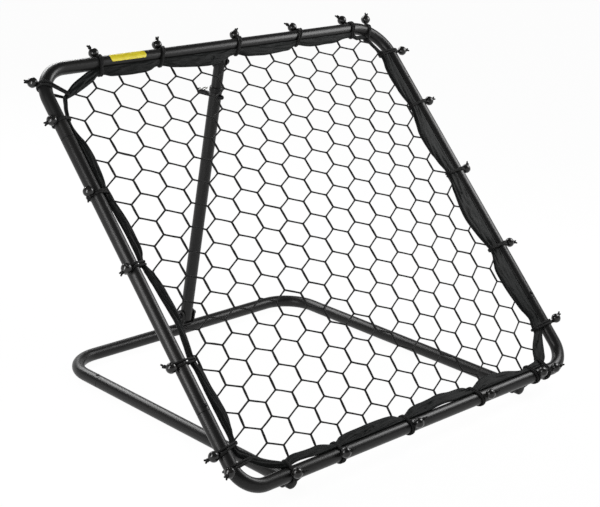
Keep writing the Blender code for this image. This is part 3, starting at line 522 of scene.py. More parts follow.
def build_buttons():
    from_joint = 0.009
    low_at = LOWER_JOINT + from_joint
    high_at = UPPER_JOINT - from_joint
    leg_at = LEG_JOINT + from_joint
    spots = (
        ("left_lower", FRAME_AXES, (-HALF_W, low_at, 0), (0, 0, 1)),
        ("right_lower", FRAME_AXES, (HALF_W, low_at, 0), (0, 0, 1)),
        ("left_upper", FRAME_AXES, (-HALF_W, high_at, 0), (0, 0, -1)),
        ("right_upper", FRAME_AXES, (HALF_W, high_at, 0), (1, 0, 0)),
        ("left_leg", WORLD_AXES, (-LEG_X, leg_at, BASE_Z), (0, 0, 1)),
        ("right_leg", WORLD_AXES, (LEG_X, leg_at, BASE_Z), (0, 0, 1)),
    )
    low = 0.0081
    top = TUBE_R + 0.0020
    flange = [(0.0001, low - 0.0012), (0.0044, low - 0.0012), (0.0045, low - 0.0011), (0.0045, low)]
    crown = ((1.0, 0.0014), (0.96, 0.0009), (0.82, 0.0004), (0.5, 0.0001))
    profile = flange + [(BUTTON_R, low)] + [(BUTTON_R * share, top - drop) for share, drop in crown]
    profile.append((0.0001, top))
    along = Vector((0, 1, 0))
    for name, axes, spot, way in spots:
        spot, way = Vector(spot), Vector(way)
        nub = Shape()
        turned(nub, profile, 24, aim(spot, way))
        put(name + "_nub", nub, axes, name + "_button", [name + "_button"], DARK_ZINC)
        # A thin dark ring laid on the tube round each button: painted shade for the gap in the hole round it
        ring = Shape()
        across = along.cross(way)
        points = []
        for angle in angles(32):
            over = BUTTON_HOLE_R * sin(angle)
            rise = sqrt(TUBE_R ** 2 - over ** 2) - 0.0001
            points.append(spot + along * (BUTTON_HOLE_R * cos(angle)) + across * over + way * rise)
        sweep(ring, points, 0.00042, 6, True)
        owner = "base" if "leg" in name else "frame"
        put(name + "_hole_shade_ring", ring, axes, owner, [], CAP)


# Plates and bolts

def belt(a, radius_a, b, radius_b, steps):
    """The outline of a belt round two circles."""
    line = Vector(b) - Vector(a)
    heading = atan2(line.y, line.x)
    spread = acos((radius_a - radius_b) / line.length)
    first = arc(a, radius_a, heading + spread, heading + 2 * pi - spread, steps)
    return first + arc(b, radius_b, heading - spread, heading + spread, steps)


def plate_mesh(name, outlines, thickness, origin, bevel=0.0004, x_axis=(0, 1, 0), y_axis=(0, 0, 1)):
    """A flat plate with softened edges. Outlines after the first are openings."""
    curve = bpy.data.curves.new(name, "CURVE")
    curve.dimensions = "2D"
    curve.fill_mode = "BOTH"
    curve.extrude = thickness / 2 - bevel
    curve.bevel_depth = bevel
    curve.bevel_resolution = 2
    curve.offset = -bevel
    for points in outlines:
        spline = curve.splines.new("POLY")
        spline.points.add(len(points) - 1)
        for i, point in enumerate(points):
            spline.points[i].co = (point[0], point[1], 0, 1)
        spline.use_cyclic_u = True
    holder = new_object(name, curve)
    mesh = final_mesh(holder)
    bpy.data.objects.remove(holder, do_unlink=True)
    x_axis, y_axis = Vector(x_axis), Vector(y_axis)
    mesh.transform(frame_matrix(x_axis, y_axis, x_axis.cross(y_axis), Vector(origin)))
    work = bmesh.new()
    work.from_mesh(mesh)
    bmesh.ops.remove_doubles(work, verts=work.verts, dist=0.00001)
    bmesh.ops.recalc_face_normals(work, faces=work.faces)
    work.to_mesh(mesh)
    work.free()
    return mesh


def bolt(name, x_left, x_right, y, z, axes, body, node):
    """A domed head on the left, the shank, and a chamfered nut on the right."""
    fit = 0.0003
    head = 0.0065
    shank = 0.004
    length = x_right - x_left + 2 * fit
    tip = length + 0.0062
    dome = ((0.30, 0.00485), (0.55, 0.0044), (0.78, 0.0034), (0.93, 0.0020), (1.0, 0.0006), (0.985, 0.0002))
    profile = [(0.0001, -0.005)] + [(head * share, -height) for share, height in dome]
    profile += [(head * 0.96, 0.0), (shank, 0.0), (shank, tip + 0.0019), (shank * 0.82, tip + 0.0025),
                (0.0001, tip + 0.0025)]
    matrix = aim((x_left - fit, y, z), (1, 0, 0))
    shape = Shape()
    turned(shape, profile, 32, matrix)
    thick = 0.0058
    nut = [(head * 0.60, 0.0), (head * 0.93, 0.0), (head, 0.0007), (head, thick - 0.0007),
           (head * 0.93, thick), (head * 0.60, thick)]
    turned(shape, nut, 6, matrix @ Matrix.Translation((0, 0, length)))
    put(name, shape, axes, body, [node], DARK_ZINC, radians(30))


def put_ear(name, outline, at, axes):
    mesh = plate_mesh(name + "_fine", [outline], PLATE, (at, 0, 0))
    put(name + "_fine", mesh, axes, "frame", [name], COAT)


def build_hinges():
    pivot = Vector((HINGE_Y, BASE_Z))
    seat = Vector((-BASE_DEPTH, CORNER_Z))
    root = seat - (seat - pivot).normalized() * EAR_SINK
    outline = belt(pivot, EAR_R, root, EAR_R, 14)
    inner = TUBE_R + SIDE_GAP
    edge = inner + PLATE
    for side, x, outward in (("left", -LEG_X, -1), ("right", LEG_X, 1)):
        for which, sign in (("outer", outward), ("inner", -outward)):
            put_ear(side + "_hinge_ear_" + which, outline, x + sign * (inner + PLATE / 2), WORLD_AXES)
        name = side + "_hinge_bolt"
        bolt(name + "_fine", x - edge, x + edge, HINGE_Y, BASE_Z, WORLD_AXES, "base", name)


def build_foot():
    inner = TUBE_R + SIDE_GAP
    top = BASE_Z + TUBE_R * cos(pi / 12) + 0.0003
    half = 0.015
    width = inner + PLATE
    base = [(-width, -half), (width, -half), (width, half), (-width, half)]
    parts = [plate_mesh("foot_base", [base], 0.003, (0, 0, top + 0.0015), 0.0003, (1, 0, 0), (0, 1, 0))]
    ear = [(-half, top + 0.0002), (half, top + 0.0002)]
    ear += arc((FOOT_Y, FOOT_Z), 0.012, radians(8), radians(172), 14)
    for sign in (-1, 1):
        middle = (sign * (inner + PLATE / 2), 0, 0)
        parts.append(plate_mesh("foot_ear", [ear], PLATE, middle, 0.0003))
    put("foot_bracket", joined_mesh("foot_bracket", parts), WORLD_AXES, "base", ["foot_clevis"], COAT)
    bolt("foot_bolt_fine", -width, width, FOOT_Y, FOOT_Z, WORLD_AXES, "base", "foot_bolt")


def build_head():
    inner = UPPER_R + SIDE_GAP
    pivot = ((HEAD - CORNER).dot(UP), (HEAD - CORNER).dot(OUT))
    reach = EAR_SINK / HEAD_DROP
    root = (HEIGHT + (pivot[0] - HEIGHT) * reach, pivot[1] * reach)
    outline = belt(pivot, EAR_R, root, 0.007, 14)
    for side, sign in (("left", -1), ("right", 1)):
        put_ear("head_ear_" + side, outline, sign * (inner + PLATE / 2), FRAME_AXES)
    edge = inner + PLATE
    bolt("head_bolt_fine", -edge, edge, pivot[0], pivot[1], FRAME_AXES, "frame", "head_bolt")


# Strut

def drill_holes(tube):
    """Cuts the row of pin holes through the upper tube."""
    drills = Shape()
    across = (0, cos(PIN_DROOP), -sin(PIN_DROOP))
    radius = 0.0051
    reach = 0.02
    profile = [(0.0001, -reach), (radius, -reach), (radius, reach), (0.0001, reach)]
    for i in range(6):
        turned(drills, profile, 24, aim((0, 0, PIN_HOLE - i * HOLE_PITCH), across))
    cutter = new_object("drills", drills.mesh("drills"))
    cutter.matrix_world = STRUT_AXES
    cut = tube.modifiers.new("holes", "BOOLEAN")
    cut.object = cutter
    cut.operation = "DIFFERENCE"
    cut.solver = "EXACT"
    mesh = final_mesh(tube)
    tube.modifiers.clear()
    tube.data = mesh
    bpy.data.objects.remove(cutter, do_unlink=True)


def turned_ring(shape, profile, sides, base):
    """A turned ring whose closed profile never meets the axis."""
    verts = []
    for angle in angles(sides):
        for radius, height in profile:
            verts.append((radius * cos(angle), radius * sin(angle), base + height))
    shape.add(np.array(verts), *skin([0] * (sides + 1), len(profile), 0, True, True))


def build_strut():
    below_foot, above_head = 0.0105, 0.008
    line = between((0, 0, -below_foot), (0, 0, LOWER_LENGTH), 16)
    put_tube("strut_lower", line, CUT_END, CUT_END, STRUT_AXES, "strut_lower", "strut_lower_tube")
    top = STRUT_LENGTH + above_head
    line = between((0, 0, top - UPPER_LENGTH), (0, 0, top), 120)
    end = plain_end(UPPER_R)
    upper = put_tube("strut_upper", line, end, end, STRUT_AXES, "strut_upper", "strut_upper_tube", UPPER_R)
    drill_holes(upper)
    collar = Shape()
    outer = 0.0138
    bore = UPPER_R + 0.0003
    profile = [(bore, 0.0), (TUBE_R, 0.0), (outer - 0.0004, 0.0004), (outer, 0.0012), (outer, 0.0080),
               (outer - 0.0003, 0.0092), (TUBE_R + 0.0002, 0.0104), (TUBE_R - 0.0006, 0.0109), (bore, 0.011)]
    turned_ring(collar, profile, 40, LOWER_LENGTH + 0.0003)
    put("collar", collar, STRUT_AXES, "strut_lower", ["strut_collar"], CAP)


def build_pin():
    shape = Shape()
    nose = -0.024
    end = 0.0215
    point = ((0.45, 0.0004), (0.75, 0.0014), (0.93, 0.0028), (1.0, 0.0042))
    profile = [(0.0001, nose)] + [(PIN_R * share, nose + rise) for share, rise in point]
    profile += [(PIN_R, end - 0.0008), (PIN_R - 0.0006, end), (0.0001, end)]
    turned(shape, profile, 28, aim((0, 0, 0), (0, 1, 0)))
    eye = 0.049
    neck = 0.0185
    head = arc((eye, 0), 0.0065, radians(-133), radians(133), 19)
    outline = [(neck, -PIN_R)] + head + [(neck, PIN_R)]
    hole = arc((eye, 0), 0.0023, 0, -2 * pi, 28)[:-1]
    tab = plate_mesh("pin_tab", [outline, hole], 0.004, (0, 0, 0), 0.0005)
    mesh = joined_mesh("locking_pin", [shape.mesh("pin_shank"), tab])
    put("locking_pin", mesh, PIN_AXES, "lock_pin", ["lock_pin"], DARK_ZINC, radians(32))
    ring = Shape()
    rest = radians(150.0)
    away = Vector((0, cos(rest), sin(rest)))
    mean = 0.0205 / 2
    points = []
    for angle in angles(48):
        points.append(Vector((mean * sin(angle), eye, 0)) + away * (0.0005 + mean * (1 - cos(angle))))
    sweep(ring, points, 0.0012, 14, True)
    put("split_ring", ring, PIN_AXES, "pull_ring", ["pull_ring"], ZINC)


# Hem: places in millimetres of the frame's plane

# Each tie: its place, how far its cord is shifted along the tube at the hem and on the far side of the tube,
# the ball's place from the tie (along the tube, outward, forward), and the way of its tail
TIES_TOP = (
    (-304, -6, 5, (2, 23, 0), (-5, 14, 2)),
    (-157, -11, 9, (5, 23, 0), (6, 13, 3)),
    (38, -12, 10, (9, 23, 0), (11, 12, 2)),
    (201.5, -9, 16, (6, 23, 0), (-11, 13, -2)),
    (356, 0, 13, (-1, 24, 1), (-12, 11, 3)),
)
TIES_RIGHT = (
    (766, 2, 1, (-1, 28, 8.5), (-2, 18, 4)),
    (636, -3, 0, (-1, 25, 7.5), (3, 20, 4)),
    (467, -4, -4, (-4, 22, 6), (14, 15, 3)),
    (280, -3, -1, (-2, 25, 7.5), (-5, 19, 4)),
    (92, -4, -2, (0, 33, 8.5), (8, 17, 4)),
)
TIES_BOTTOM = (
    (336.5, -11, -1, (4, 3, 23), (12, 3, 10)),
    (163, -13, 2, (12, 5, 22.5), (12, 2, 10)),
    (-39, -4, 1, (8, 5, 22.5), (12, -3, 10)),
    (-224, 4, 6, (2, 5, 22.5), (12, 2, 10)),
    (-340, 3, 2, (0, 6, 22.5), (12, 4, 10)),
)
TIES_LEFT = (
    (75, 8, -1, (-1, 23, 1), (-1, 16, -12)),
    (244, -2, -3, (-4, 22.7, 4), (9, 10, -6)),
    (435, 0, -4, (-5, 20, 11.5), (-7, 15, -3)),
    (584, -3, -4, (1, 20, 11.5), (-14, 6, -4)),
    (732, 3, 0, (2, 21, 9.5), (-5, 19, -3)),
)
# Each corner's tie: name, middle and radius of the arc it stands on, angle round it, reach, the rest as above
CORNER_TIES = (
    ("top_right", (369, 766.2), 74, 54.0, 0.0260, (-2, -7), (-11.5, 28.5, 5), (0, 16, 2)),
    ("bottom_left", (-393, 50), 50, 188.6, 0.0440, (0, -2), (2.4, 18.5, 13.5), (4, 15, 3)),
    ("top_left", (-383, 780.2), 60, 155.4, 0.0450, (-6, 2), (6, 24, -2), (-4, 17, 2)),
    ("bottom_right", (371, 50), 50, 270.0, 0.0275, (-3, -3), (9, 5, 22.5), (12, 2, 10)),
)

# Along each side: place and inner edge, and the outer edge where it isn't HEM_EDGE, both inward of the axis
HEM_EDGE = 12.4
HEM_TOP = (
    (-309, 25), (-300, 25.5), (-288, 29.8), (-275, 31.3), (-250, 32.7), (-225, 32.4), (-205, 31.4),
    (-192, 28.5), (-182, 24.3), (-170, 23), (-160, 24.8), (-148, 28.5), (-125, 32), (-100, 34.7), (-75, 37),
    (-50, 37.8), (-25, 35), (-5, 29.5), (8, 24), (22, 21.8), (34, 22.8), (45, 27.3), (60, 29.7), (75, 30.8),
    (100, 32.4), (125, 31.4), (150, 29.7), (170, 28), (180, 23.5), (192, 20.6), (203, 20.6), (212, 23.3),
    (225, 26.4), (250, 28), (275, 27), (300, 27), (315, 24.7), (328, 21.5), (345, 19.8), (357, 20.4),
)
HEM_RIGHT = (
    (768, 32.5), (757, 32.5), (748, 34), (738, 37.5), (725, 39.5), (708, 40.2), (690, 39.3), (675, 37.6),
    (660, 35), (647, 31.5), (636, 30.3), (625, 31), (614, 33.5), (600, 38.5), (588, 42), (576, 46),
    (563, 48.5), (548, 48.5), (533, 47.3), (518, 45.5), (503, 41.5), (488, 37.5), (475, 33), (463, 32),
    (452, 32.5), (443, 35), (430, 40), (415, 43.2), (400, 47.3), (386, 51), (372, 53), (357, 53.3),
    (343, 51.5), (329, 48.3), (315, 44.8), (300, 40.3), (288, 35.8), (277, 33), (266, 33.5), (258, 37.5),
    (248, 43), (238, 47.8), (227, 50.8), (213, 51.6), (198, 51.4), (183, 50.3), (167, 48.1), (150, 44.5),
    (134, 40.5), (121, 36), (110, 33), (99, 36.5), (88, 39, 12.8),
)
HEM_BOTTOM = (
    (348, 24.5), (338, 23.5), (326, 22.3), (312, 19.5), (300, 20.3), (288, 23.5), (275, 27), (262, 30),
    (248, 31), (232, 33), (215, 35), (200, 34.5), (188, 32.5), (178, 29), (168, 25), (157, 22.5), (148, 24),
    (140, 28), (129, 31), (113, 31.8), (95, 32.5), (78, 35, 14), (62, 35.8, 14.5), (48, 34.4, 14), (25, 33),
    (0, 32.4), (-15, 30), (-25, 25.5), (-34, 22.2), (-44, 21.8), (-53, 23.3), (-64, 29), (-76, 30.8),
    (-100, 32), (-125, 32.2), (-150, 31.6), (-175, 31.2), (-189, 30.4), (-200, 28.5), (-209, 24),
    (-219, 22.3), (-230, 22.8), (-240, 26), (-252, 29), (-275, 29.2, 13.6), (-296, 30, 15.5),
    (-315, 31, 15.8), (-327, 29, 14.5), (-338, 24.3),
)
HEM_LEFT = (
    (75, 29, 17.5), (85, 31.5, 20), (94, 32.5, 23), (104, 35.5, 23.3), (118, 39.3, 22.3), (132, 42.3, 22),
    (143, 43, 22), (156, 42, 22), (170, 40.8, 22), (185, 38.9, 22.2), (200, 38.4, 22.7), (216, 38, 23),
    (225, 36.5, 22.5), (234, 33, 21.3), (242, 31.4, 20.6), (250, 32.3, 21), (260, 34.5, 22.6),
    (270, 36.5, 24.6), (284, 39, 26.9), (300, 40.5, 29.2), (317, 43, 31), (333, 45.6, 29.7),
    (350, 45.2, 28), (367, 44.2, 26), (383, 42.9, 24.3), (400, 40.3, 22.7), (413, 37, 21.3),
    (422, 32.5, 20.4), (430, 28.5, 19.5), (437, 27.4, 19), (444, 28.8, 18.8), (452, 33.2, 19.5),
    (461, 36.3, 20), (477, 37.5, 20.3), (493, 37.8, 20), (510, 37.6, 19.3), (527, 36.4, 18.5),
    (543, 34.2, 17.5), (557, 31.5, 16.5), (567, 28.4, 15.5), (576, 25.8, 14.5), (584, 25.8, 14),
    (591, 27, 13.6), (601, 30, 13.5), (614, 31.9, 13.3), (628, 33, 13.3), (643, 34, 13.3),
    (656, 34.3, 13.3), (670, 33.5, 13.3), (681, 31.8, 13.3), (690, 28.5, 13.3), (700, 24.5, 13.3),
    (712, 21.8, 13.3), (723, 20.8, 13.3), (734, 21.5, 14.5),
)
# Across the corners: outer edge and inner edge, in the frame's plane, clockwise
CORNER_TOP_LEFT = (
    (-423.9, 744.3, -418.9, 742.3), (-420.5, 757.5, -415, 755), (-415.5, 769.5, -409.5, 766.5),
    (-411.5, 780, -404.5, 775.8), (-404.5, 787, -395.5, 778.8), (-393.2, 795, -381, 783.5),
    (-378.8, 805, -363.5, 790.5), (-351, 818.3, -345, 798.5), (-336, 825, -331, 805),
    (-324, 827, -320, 812.5),
)
CORNER_TOP_RIGHT = (
    (370, 822, 368, 812), (383, 820.5, 380.5, 812), (393, 818, 389, 810.5), (400.5, 809.5, 395.5, 804.5),
    (405.5, 799, 400, 794.5), (410.5, 788, 404.5, 784), (418, 776.5, 408.5, 771.5),
)
CORNER_BOTTOM_RIGHT = (
    (427, 80, 403, 82), (419.5, 70, 394, 72), (410, 55, 380, 58), (400, 38, 368, 43), (391, 24, 363, 32),
    (376, 13.5, 360, 27),
)
CORNER_BOTTOM_LEFT = (
    (-352, 16, -347, 28), (-374, 24, -368, 38), (-396, 38, -387, 50), (-412, 52, -400, 61),
    (-424, 64, -412, 71),
)


def plane_point(side, place_at, inset):
    """A point by its side, its place along it and how far it lies inward of the tube's axis."""
    if side == "top":
        return (place_at, HEIGHT * 1000 - inset)
    if side == "bottom":
        return (place_at, inset)
    if side == "right":
        return (HALF_W * 1000 - inset, place_at)
    return (-HALF_W * 1000 + inset, place_at)


def hem_edges():
    """Rows clockwise: outer and inner point, how tied, the outer edge's way forward and half thickness."""
    half = 4.0
    tied_within = 6
    corner_tied = 0.25
    sides = (
        ("top", HEM_TOP, TIES_TOP, CORNER_TOP_RIGHT, 5.0, 0.0, 2.6),
        ("right", HEM_RIGHT, TIES_RIGHT, CORNER_BOTTOM_RIGHT, 5.0, 0.0, half),
        ("bottom", HEM_BOTTOM, TIES_BOTTOM, CORNER_BOTTOM_LEFT, 7.6, 1.6, half),
        ("left", HEM_LEFT, TIES_LEFT, CORNER_TOP_LEFT, 0.0, 0.0, half),
    )
    rows = []
    for side, stations, ties, corner, forward, tuck, corner_half in sides:
        held = [tie[0] + tie[1] for tie in ties]
        for place_at, inside_edge, *outside in stations:
            outside_edge = (outside[0] if outside else HEM_EDGE) - tuck
            tied = 1.0 if min(abs(place_at - spot) for spot in held) < tied_within else 0.0
            outer = plane_point(side, place_at, outside_edge)
            rows.append((*outer, *plane_point(side, place_at, inside_edge), tied, forward, half))
        for row in corner:
            rows.append((*row, corner_tied, 0.0, corner_half))
    return rows


def smooth_loop(values, spans, step):
    """Points along a closed row of values by a centripetal spline, a fixed step apart along the spans."""
    count = len(values)
    result = []
    for i in range(count):
        p0, p1, p2, p3 = (np.array(values[(i + k) % count], float) for k in (-1, 0, 1, 2))
        d0, d1, d2 = (max(spans[(i + k) % count], 1e-6) for k in (-1, 0, 1))
        m1 = ((p1 - p0) / d0 * d1 + (p2 - p1) / d1 * d0) / (d0 + d1)
        m2 = ((p2 - p1) / d1 * d2 + (p3 - p2) / d2 * d1) / (d1 + d2)
        pieces = max(1, int(round(d1 / step)))
        for k in range(pieces):
            t = k / pieces
            u = 1 - t
            slope = d1 * t * u * (m1 * u - m2 * t)
            result.append(p1 * u * u * (1 + 2 * t) + p2 * t * t * (3 - 2 * t) + slope)
    return result


def hem_stations():
    """The rows of hem_edges made smooth, and about 3 mm apart."""
    rows = hem_edges()
    middles = [((row[0] + row[2]) / 2, (row[1] + row[3]) / 2) for row in rows]
    spans = [dist(a, b) for a, b in zip(middles, middles[1:] + middles[:1])]
    spacing = 3.0
    return smooth_loop(rows, spans, spacing)


def build_hem():
    """A folded strip of cloth round the net's border, bunched at each tie, with long creases between."""
    stations = hem_stations()
    shape = Shape()
    sides = 44
    girth = 0.06
    crease_depth, gather_depth = 0.0023, 0.0012
    lengths = run_lengths([metres(row[0] + row[2], row[1] + row[3]) / 2 for row in stations])
    verts = np.zeros((len(stations) * sides, 3))
    for i, row in enumerate(stations):
        outer, inner = metres(row[0], row[1]), metres(row[2], row[3])
        half = (inner - outer).length / 2
        across = (inner - outer).normalized()
        middle = (inner + outer) / 2
        bunch = max(0.0, min(1.0, row[4])) ** 1.5
        forward = max(0.0, row[5]) / 2000
        thick = row[6] / 1000 + 0.0004 * bunch
        turn = lengths[i] / lengths[-1] * 2 * pi
        slow = Vector((cos(turn) * 9.0, sin(turn) * 9.0, 0))
        for k, angle in enumerate(angles(sides)):
            c, s = cos(angle), sin(angle)
            x = half * (abs(c) ** 0.85) * (1 if c > 0 else -1)
            layer, *rows = (1, 3.1, 21.0, 50.0) if s > 0 else (-1, 8.7, 33.0, 70.0)
            crease = 0.5 - 1.8 * abs(noise.noise(Vector((x * 210, rows[0], 0)) + slow * 1.3))
            crease += 0.5 * noise.noise(Vector((x * 360, rows[1], 0)) + slow * 2.2)
            gather = noise.noise((x * 640, rows[2], lengths[i] * 5))
            depth = crease_depth * crease * (1 - 0.5 * bunch) + gather_depth * gather * (0.15 + bunch)
            rise = layer * (thick * abs(s) ** 0.62 + depth * abs(s)) + forward * (1 - x / half)
            verts[i * sides + k] = middle + across * x + Vector((0, 0, rise))
    shape.add(verts, *skin(lengths, sides, girth, True, True))
    band = put("hem_band", shape, FRAME_AXES, "frame", ["net_hem"], HEM, radians(80))


# Net: places in millimetres of the frame's plane

NET_U0 = 63.48
NET_PITCH_U = 62.91
NET_V0 = 22.81
NET_PITCH_V = 42.79
NET_RISE = 15.32


def knot_place(x, y):
    """Where a knot of the even net lies in the laced one, in millimetres."""
    a = x / 400
    b = (y - 420) / 400
    du = (2.48 * a * b - 20.1 * b - 9.72 * b * b + 0.60 * a * a - 1.42 * a ** 3 + 9.14 * a * a * b
          + 7.91 * a * b * b + 11.23 * b ** 3)
    dv = (5.81 * a * b + 14.59 * a + 5.84 * a * a - 4.39 * b * b + 9.86 * a ** 3 + 3.84 * a * a * b
          - 21.9 * a * b * b + 0.16 * b ** 3)
    return Vector((x + du, y + dv))


def within(point, outline):
    found = False
    for a, b in zip(outline, outline[1:] + outline[:1]):
        if (a[1] > point[1]) != (b[1] > point[1]):
            if point[0] < a[0] + (point[1] - a[1]) * (b[0] - a[0]) / (b[1] - a[1]):
                found = not found
    return found


def clip_end(inner_point, outer_point, outline):
    """The spot where a strand from inside meets the outline."""
    low, high = 0.0, 1.0
    for _ in range(24):
        middle = (low + high) / 2
        if within(inner_point.lerp(outer_point, middle), outline):
            low = middle
        else:
            high = middle
    return inner_point.lerp(outer_point, low)


def strand(shape, a, b, radius, seed, bow=0.0, lift=0.0):
    """One cord between two knots, thicker at its ends where it's knotted."""
    along = b - a
    across = Vector((-along.y, along.x, 0)).normalized()
    points = []
    radii = []
    steps = 6
    waver, swell = 0.0005, 0.22
    for i in range(steps + 1):
        t = i / steps
        arch = 4 * t * (1 - t)
        wave = noise.noise((seed * 3.7, t * 1.5, 0)) * waver
        points.append(a + along * t + across * ((bow + wave) * arch) + Vector((0, 0, lift * arch)))
        radii.append(radius * (1 + swell * (abs(2 * t - 1) ** 4)))
    sweep(shape, points, radii, 8)


def net_strands():
    """The even net's strands by their two knots, and whether each one runs upright."""
    strands = {}
    half = NET_PITCH_U / 2
    for r in range(-3, 24):
        for c in range(-10, 10):
            x = NET_U0 + (c + 0.5 * (r % 2)) * NET_PITCH_U
            y = NET_V0 + r * NET_PITCH_V
            top = y + NET_PITCH_V
            corners = [(x, y), (x + half, y - NET_RISE), (x + 2 * half, y), (x + 2 * half, top - NET_RISE),
                       (x + half, top), (x, top - NET_RISE)]
            for i in range(6):
                ends = (corners[i], corners[(i + 1) % 6])
                key = tuple(sorted((round(u, 2), round(v, 2)) for u, v in ends))
                strands[key] = abs(ends[0][0] - ends[1][0]) < 1
    return strands


def build_net():
    """Knotted hexagon meshes: doubled cord down their sides and single cord across."""
    outline = []
    for row in hem_stations():
        middle = Vector(((row[0] + row[2]) / 2, (row[1] + row[3]) / 2))
        outline.append(tuple(Vector((row[2], row[3])).lerp(middle, 0.25)))
    shape = Shape()
    shortest = 1.5
    knots = {}
    for seed, (key, upright) in enumerate(sorted(net_strands().items())):
        a, b = knot_place(*key[0]), knot_place(*key[1])
        a_in, b_in = within(a, outline), within(b, outline)
        if not a_in and not b_in:
            continue
        if a_in:
            knots[key[0]] = a
        if b_in:
            knots[key[1]] = b
        if not a_in:
            a = clip_end(b, a, outline)
        if not b_in:
            b = clip_end(a, b, outline)
        if (b - a).length < shortest:
            continue
        start, end = metres(*a), metres(*b)
        if upright:
            strand(shape, start, end, NET_SIDE_R, seed, NET_ASIDE, NET_LIFT)
            strand(shape, start, end, NET_SIDE_R, seed + 0.5, -NET_ASIDE, -NET_LIFT)
        else:
            strand(shape, start, end, NET_CROSS_R, seed, noise.noise((seed * 1.3, 0, 0)) * 0.0012)
    profile = [(0.0004, -0.0026), (0.0014, -0.0019), (0.0019, -0.0007), (0.0019, 0.0008), (0.0014, 0.0019),
               (0.0004, 0.0026)]
    for i, (key, spot) in enumerate(sorted(knots.items())):
        turn = noise.noise((i * 2.1, 5, 0)) * 1.2
        turned(shape, profile, 10, aim(metres(*spot), (cos(turn), sin(turn), 0)))
    put("net_cords", shape, FRAME_AXES, "frame", ["net"], NET_CORD, radians(80))


# Ties

def build_tie(name, spot, inward, along, far, half, shifts, ball_at, tail, seed):
    """A doubled elastic cord round tube and hem, threaded through a ball and knotted on its far side."""
    cords = Shape()
    balls = Shape()
    inward = Vector((*inward, 0)).normalized()
    along = Vector((*along, 0)).normalized()
    up = Vector((0, 0, 1))
    origin = metres(*spot)
    tube_round = TUBE_R + CORD_R + 0.0002
    hem_round = half + CORD_R
    at_hem, at_tube = shifts[0] / 1000, shifts[1] / 1000
    loop = belt((0, 0), tube_round, (far - hem_round, 0), hem_round, 14)
    for i, shift in enumerate((-CORD_ASIDE, CORD_ASIDE)):
        wobble = 0.0010 * noise.noise((seed * 2.3, i * 3.0, 1))
        points = []
        for k, spot_round in enumerate(loop):
            reach, height = spot_round.xy
            share = (reach + tube_round) / (far + tube_round)
            lean = 0.0010 * sin(2 * pi * k / len(loop) + seed + i * pi)
            slant = at_tube + (at_hem - at_tube) * share
            aside = shift * (1 - 0.35 * share) + wobble + lean + slant
            points.append(origin + inward * reach + up * height + along * aside)
        sweep(cords, points, CORD_R, 10, True)
    centre = origin + (along * ball_at[0] - inward * ball_at[1] + up * ball_at[2]) / 1000
    ball_way = (along * tail[0] - inward * tail[1] + up * tail[2]).normalized()
    toward = (up * ball_at[2] - inward * ball_at[1]).normalized()
    start = origin + along * at_tube + toward * (TUBE_R + 0.0010)
    profile = []
    steps = 14
    for i in range(steps + 1):
        angle = -pi / 2 + pi * i / steps
        profile.append((max(BALL_BORE_R, BALL_R * cos(angle)), BALL_R * 0.97 * sin(angle)))
    low, high = profile[0][1] + 0.0010, profile[-1][1] - 0.0010
    profile = [(BALL_THROAT_R, low)] + profile + [(BALL_THROAT_R, high)]
    turned(balls, profile, 28, aim(centre, ball_way))
    seam = ball_way.orthogonal().normalized()
    other = ball_way.cross(seam)
    line = [centre + (seam * cos(angle) + other * sin(angle)) * BALL_R * 0.992 for angle in angles(40)]
    sweep(balls, line, SEAM_R, 6, True)
    entry = centre - ball_way * 0.0086
    for sign in (-1, 1):
        offset = along * (0.0017 * sign)
        middle = start.lerp(entry, 0.5) + offset * 0.8
        path = [start + offset * 1.2, middle, entry + offset * 0.7, centre + offset * 0.5]
        sweep(cords, path, CORD_R, 8)
    tip = centre + ball_way * (BALL_R + 0.0018)
    knot = [(0.0008, -0.0030), (0.0028, -0.0022), (0.0035, -0.0004), (0.0033, 0.0014), (0.0018, 0.0026),
            (0.0006, 0.0030)]
    turned(cords, knot, 14, aim(tip, ball_way))
    ear_way = (along + up * (0.5 * noise.noise((seed * 1.7, 4.2, 0)))).normalized()
    base = tip + ball_way * 0.0012
    for sign in (-1, 1):
        end = base + ball_way * 0.0044 + ear_way * (0.0028 * sign)
        bend = base.lerp(end, 0.5) + ear_way * (0.0008 * sign)
        sweep(cords, [base, bend, end], [0.0018, 0.0018, 0.0015], 8)
    put(name + "_cord", cords, FRAME_AXES, "frame", [name], ELASTIC)
    put(name + "_ball", balls, FRAME_AXES, "frame", [name], BALL)


def hem_reach(stations, place_at):
    """How far in the hem's inner edge lies at a place along its side."""
    ordered = sorted(stations)
    return float(np.interp(place_at, [row[0] for row in ordered], [row[1] for row in ordered]))


def build_ties():
    right, up = (1, 0), (0, 1)
    sides = (
        ("top", TIES_TOP, HEM_TOP, (0, -1), right),
        ("right", TIES_RIGHT, HEM_RIGHT, (-1, 0), up),
        ("bottom", TIES_BOTTOM, HEM_BOTTOM, up, right),
        ("left", TIES_LEFT, HEM_LEFT, right, up),
    )
    seed = 1
    for side, ties, stations, inward, along in sides:
        for i, (place_at, at_hem, at_tube, ball_at, tail) in enumerate(ties):
            far = (hem_reach(stations, place_at + at_hem) + 0.8) / 1000
            name = "tie_%s_%d" % (side, i + 1)
            spot = plane_point(side, place_at, 0)
            build_tie(name, spot, inward, along, far, SIDE_GRIP, (at_hem, at_tube), ball_at, tail, seed)
            seed += 1
    for name, centre, radius, angle, far, shifts, ball_at, tail in CORNER_TIES:
        out = (cos(radians(angle)), sin(radians(angle)))
        along = (-out[1], out[0]) if name.startswith("bottom") else (out[1], -out[0])
        spot = (centre[0] + out[0] * radius, centre[1] + out[1] * radius)
        inward = (-out[0], -out[1])
        build_tie("tie_" + name, spot, inward, along, far, CORNER_GRIP, shifts, ball_at, tail, seed)
        seed += 1


